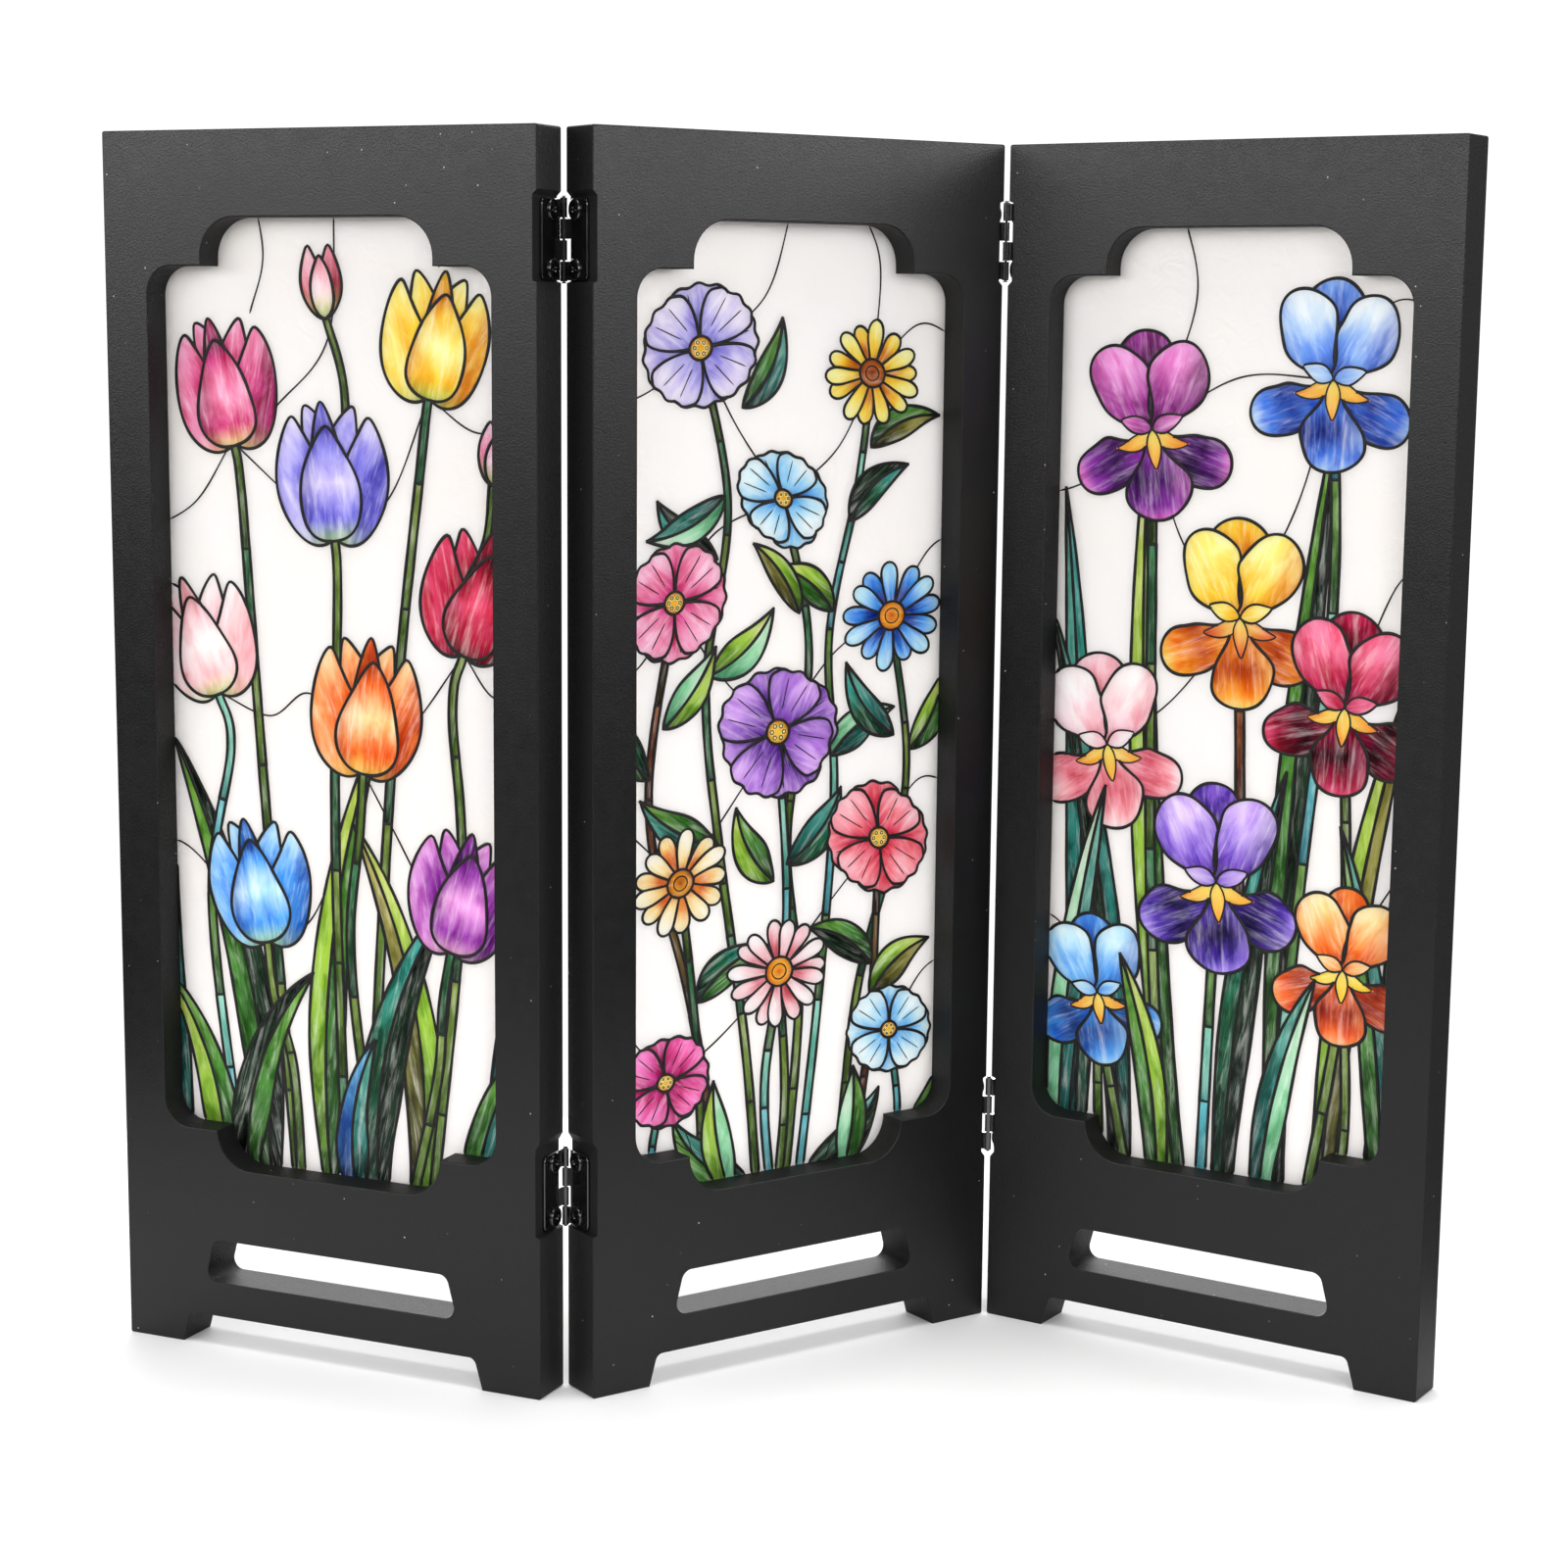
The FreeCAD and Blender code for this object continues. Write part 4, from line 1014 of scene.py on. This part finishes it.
def black_metal(name, rough0, rough1, grain):
    """Black coated steel: near black and glossy, with a slightly uneven coat."""
    m = Nodes(name)
    mm = m.millimetres()
    cloud = m.noise(mm, 0.35, 2.0, 0.5)
    fine = m.noise(mm, grain, 3.0, 0.6)
    colour = m.mix(m.remap(cloud, 0.35, 0.65), (0.0030, 0.0030, 0.0032), (0.0055, 0.0055, 0.0058))
    rough = m.remap(m.math("ADD", cloud, m.math("MULTIPLY", fine, 0.5)), 0.5, 1.0, rough0, rough1)
    normal = m.bump(fine, 0.12, 0.00002)
    return m.set(Base_Color=colour, Roughness=rough, Normal=normal, Specular_IOR_Level=0.6, Coat_Weight=1.0, Coat_Roughness=0.06)


def art_glass(name):
    """Streaky coloured glass, and warm white glass with faint ripples for the ground."""
    m = Nodes(name)
    mm = m.millimetres()
    col = m.node("ShaderNodeAttribute", attribute_name="tint")
    run = m.node("ShaderNodeAttribute", attribute_name="flow")

    def stretched(x, y, z):
        n = m.node("ShaderNodeVectorMath", operation="MULTIPLY")
        m.put(n.inputs[0], run.outputs["Vector"])
        n.inputs[1].default_value = (x, y, z)
        return n.outputs[0]

    wisp = m.noise(stretched(0.085, 0.80, 1.0), 1.0, 4.0, 0.62, 0.55)
    hair = m.noise(stretched(0.16, 2.3, 1.3), 1.0, 3.0, 0.6, 0.3)
    cloud = m.noise(stretched(0.10, 0.24, 1.7), 1.0, 3.0, 0.55, 0.4)
    streak = col.outputs["Alpha"]
    light = m.math("MULTIPLY", m.remap(wisp, 0.45, 0.78, 0.0, 0.42), streak)
    c = m.mix(light, col.outputs["Color"], (0.93, 0.91, 0.88))
    fine = m.math("MULTIPLY", m.remap(hair, 0.50, 0.80, 0.0, 0.13), streak)
    c = m.mix(fine, c, (0.90, 0.88, 0.85))
    c = m.mix(m.math("MULTIPLY", m.remap(cloud, 0.38, 0.66, 0.0, 0.88), streak), c, m.mix(1.0, c, c, "MULTIPLY"))
    # faint cream and cool drifts in the white ground
    drift = m.noise(mm, 0.035, 3.0, 0.6, 0.8)
    ground = m.mix(m.remap(drift, 0.36, 0.64), (1.0, 0.985, 0.965), (0.985, 0.985, 0.985))
    c = m.mix(1.0, c, ground, "MULTIPLY")
    ripple = m.noise(mm, 0.16, 2.0, 0.5, 1.6)
    rough = m.remap(ripple, 0.35, 0.65, 0.17, 0.27)
    normal = m.bump(ripple, 0.35, 0.00035)
    normal = m.bump(m.noise(mm, 0.9, 2.0, 0.5), 0.12, 0.00008, normal)
    return m.set(Base_Color=c, Roughness=rough, Normal=normal, Specular_IOR_Level=0.14,
                 Subsurface_Weight=0.85, Subsurface_Radius=(1.0, 1.0, 1.0), Subsurface_Scale=0.006)


def lead_paint(name):
    """Black raised outline, a little uneven in colour and shine."""
    m = Nodes(name)
    mm = m.millimetres()
    n = m.noise(mm, 0.7, 4.0, 0.6)
    fine = m.noise(mm, 4.0, 3.0, 0.6)
    colour = m.mix(m.remap(n, 0.35, 0.65), (0.0045, 0.0042, 0.0042), (0.0115, 0.0105, 0.0100))
    rough = m.remap(fine, 0.3, 0.7, 0.34, 0.50)
    return m.set(Base_Color=colour, Roughness=rough, Normal=m.bump(fine, 0.3, 0.00003), Specular_IOR_Level=0.24)


glass, leading = art_glass("art_glass"), lead_paint("lead_lines")
for panel, design in (("left", left_design), ("centre", centre_design), ("right", right_design)):
    glass_pane(panel, design(), glass, leading)

finish = {"retainer": retainer_paint("retainer_black"), "leaf": black_metal("hinge_black", 0.12, 0.17, 3.0),
          "screws": black_metal("screw_black", 0.12, 0.18, 4.0), "pin": black_metal("pin_black", 0.15, 0.22, 4.0)}
for panel in ANGLES:
    finish[panel + "_board"] = board_paint(panel + "_board_black", panel)
for name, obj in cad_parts.items():
    if name.endswith("_pane"):
        mat = glass
    elif name in finish:
        mat = finish[name]
    else:
        mat = finish[name.split("_")[-1]]
    if not obj.material_slots:
        obj.data.materials.append(mat)
    for s in obj.material_slots:
        s.material = mat

# ----- floor, light and camera -----
def round_box(t):
    c, s = math.cos(t), math.sin(t)
    return (0.285 * math.copysign(abs(c) ** 0.75, c) - 0.075, 0.34 * math.copysign(abs(s) ** 0.75, s) - 0.12, 0.0)


rim = [round_box(2 * math.pi * i / 128) for i in range(128)]
floor = new_mesh("floor", np.array(rim), [tuple(range(128))])
m = Nodes("floor_white")
mm = m.millimetres()
floor.data.materials.append(m.set(
    Base_Color=m.mix(m.remap(m.noise(mm, 0.01, 3.0), 0.35, 0.65), (0.92, 0.92, 0.92), (0.94, 0.94, 0.94)), Roughness=0.9, Specular_IOR_Level=0.1))

# white backdrop, with a dim room in front of it that the softboxes light
world = bpy.data.worlds.new("studio")
bpy.context.scene.world = world
world.use_nodes = True
wt = world.node_tree
bg = wt.nodes["Background"]
bg.inputs["Color"].default_value = (1.0, 1.0, 1.0, 1.0)
way = wt.nodes.new("ShaderNodeTexCoord")
sep = wt.nodes.new("ShaderNodeSeparateXYZ")
wt.links.new(way.outputs["Generated"], sep.inputs[0])
sky = wt.nodes.new("ShaderNodeMapRange")
wt.links.new(sep.outputs["Z"], sky.inputs["Value"])
for k, v in zip(("From Min", "From Max", "To Min", "To Max"), (-0.02, 0.12, 0.10, 0.28)):
    sky.inputs[k].default_value = v
ray = wt.nodes.new("ShaderNodeLightPath")
pick = wt.nodes.new("ShaderNodeMix")
wt.links.new(ray.outputs["Is Camera Ray"], pick.inputs["Factor"])
wt.links.new(sky.outputs["Result"], pick.inputs[2])
pick.inputs[3].default_value = 1.1
wt.links.new(pick.outputs[0], bg.inputs["Strength"])


def softbox(name, place, target, wide, high, glow):
    """A rectangular softbox with an even glow over its face."""
    data = bpy.data.lights.new(name, "AREA")
    data.shape = "RECTANGLE"
    data.size, data.size_y = wide, high
    data.energy = glow * math.pi * wide * high
    obj = bpy.data.objects.new(name, data)
    bpy.context.scene.collection.objects.link(obj)
    obj.location = place
    obj.rotation_mode = "QUATERNION"
    obj.rotation_quaternion = (Vector(target) - Vector(place)).to_track_quat("-Z", "Y")


softbox("left_strip", (-2.50, -1.66, 0.76), (0, 0, 0.16), 3.2, 0.60, 8.5)
softbox("right_strip", (2.80, -1.09, 0.76), (0, 0, 0.16), 3.0, 0.60, 8.5)
softbox("front", (0.45, -2.15, 0.95), (0, 0, 0.15), 0.9, 0.9, 6.0)
softbox("top", (0.0, -0.1, 2.2), (0, 0, 0.0), 1.4, 1.4, 6.0)
softbox("rear", (0.0, 2.2, 0.8), (0, 0, 0.15), 2.4, 1.3, 6.0)

cam_data = bpy.data.cameras.new("camera")
cam = bpy.data.objects.new("camera", cam_data)
bpy.context.scene.collection.objects.link(cam)
cam_data.sensor_fit = "HORIZONTAL"
cam_data.sensor_width = 36.0
cam_data.lens = 69.04806
cam_data.clip_start, cam_data.clip_end = 0.01, 50.0
pitch, roll = math.radians(8.82046), math.radians(0.54453)
fwd = Vector((0, math.cos(pitch), -math.sin(pitch)))
up = Vector((0, math.sin(pitch), math.cos(pitch)))
right = Vector((1, 0, 0))
cx = right * math.cos(roll) + up * math.sin(roll)
cy = -right * math.sin(roll) + up * math.cos(roll)
place = Matrix((cx, cy, -fwd)).transposed().to_4x4()
place.translation = (0.002561, -0.728946, 0.257361)
cam.matrix_world = place
bpy.context.scene.camera = cam
bpy.context.scene.view_settings.view_transform = "Standard"
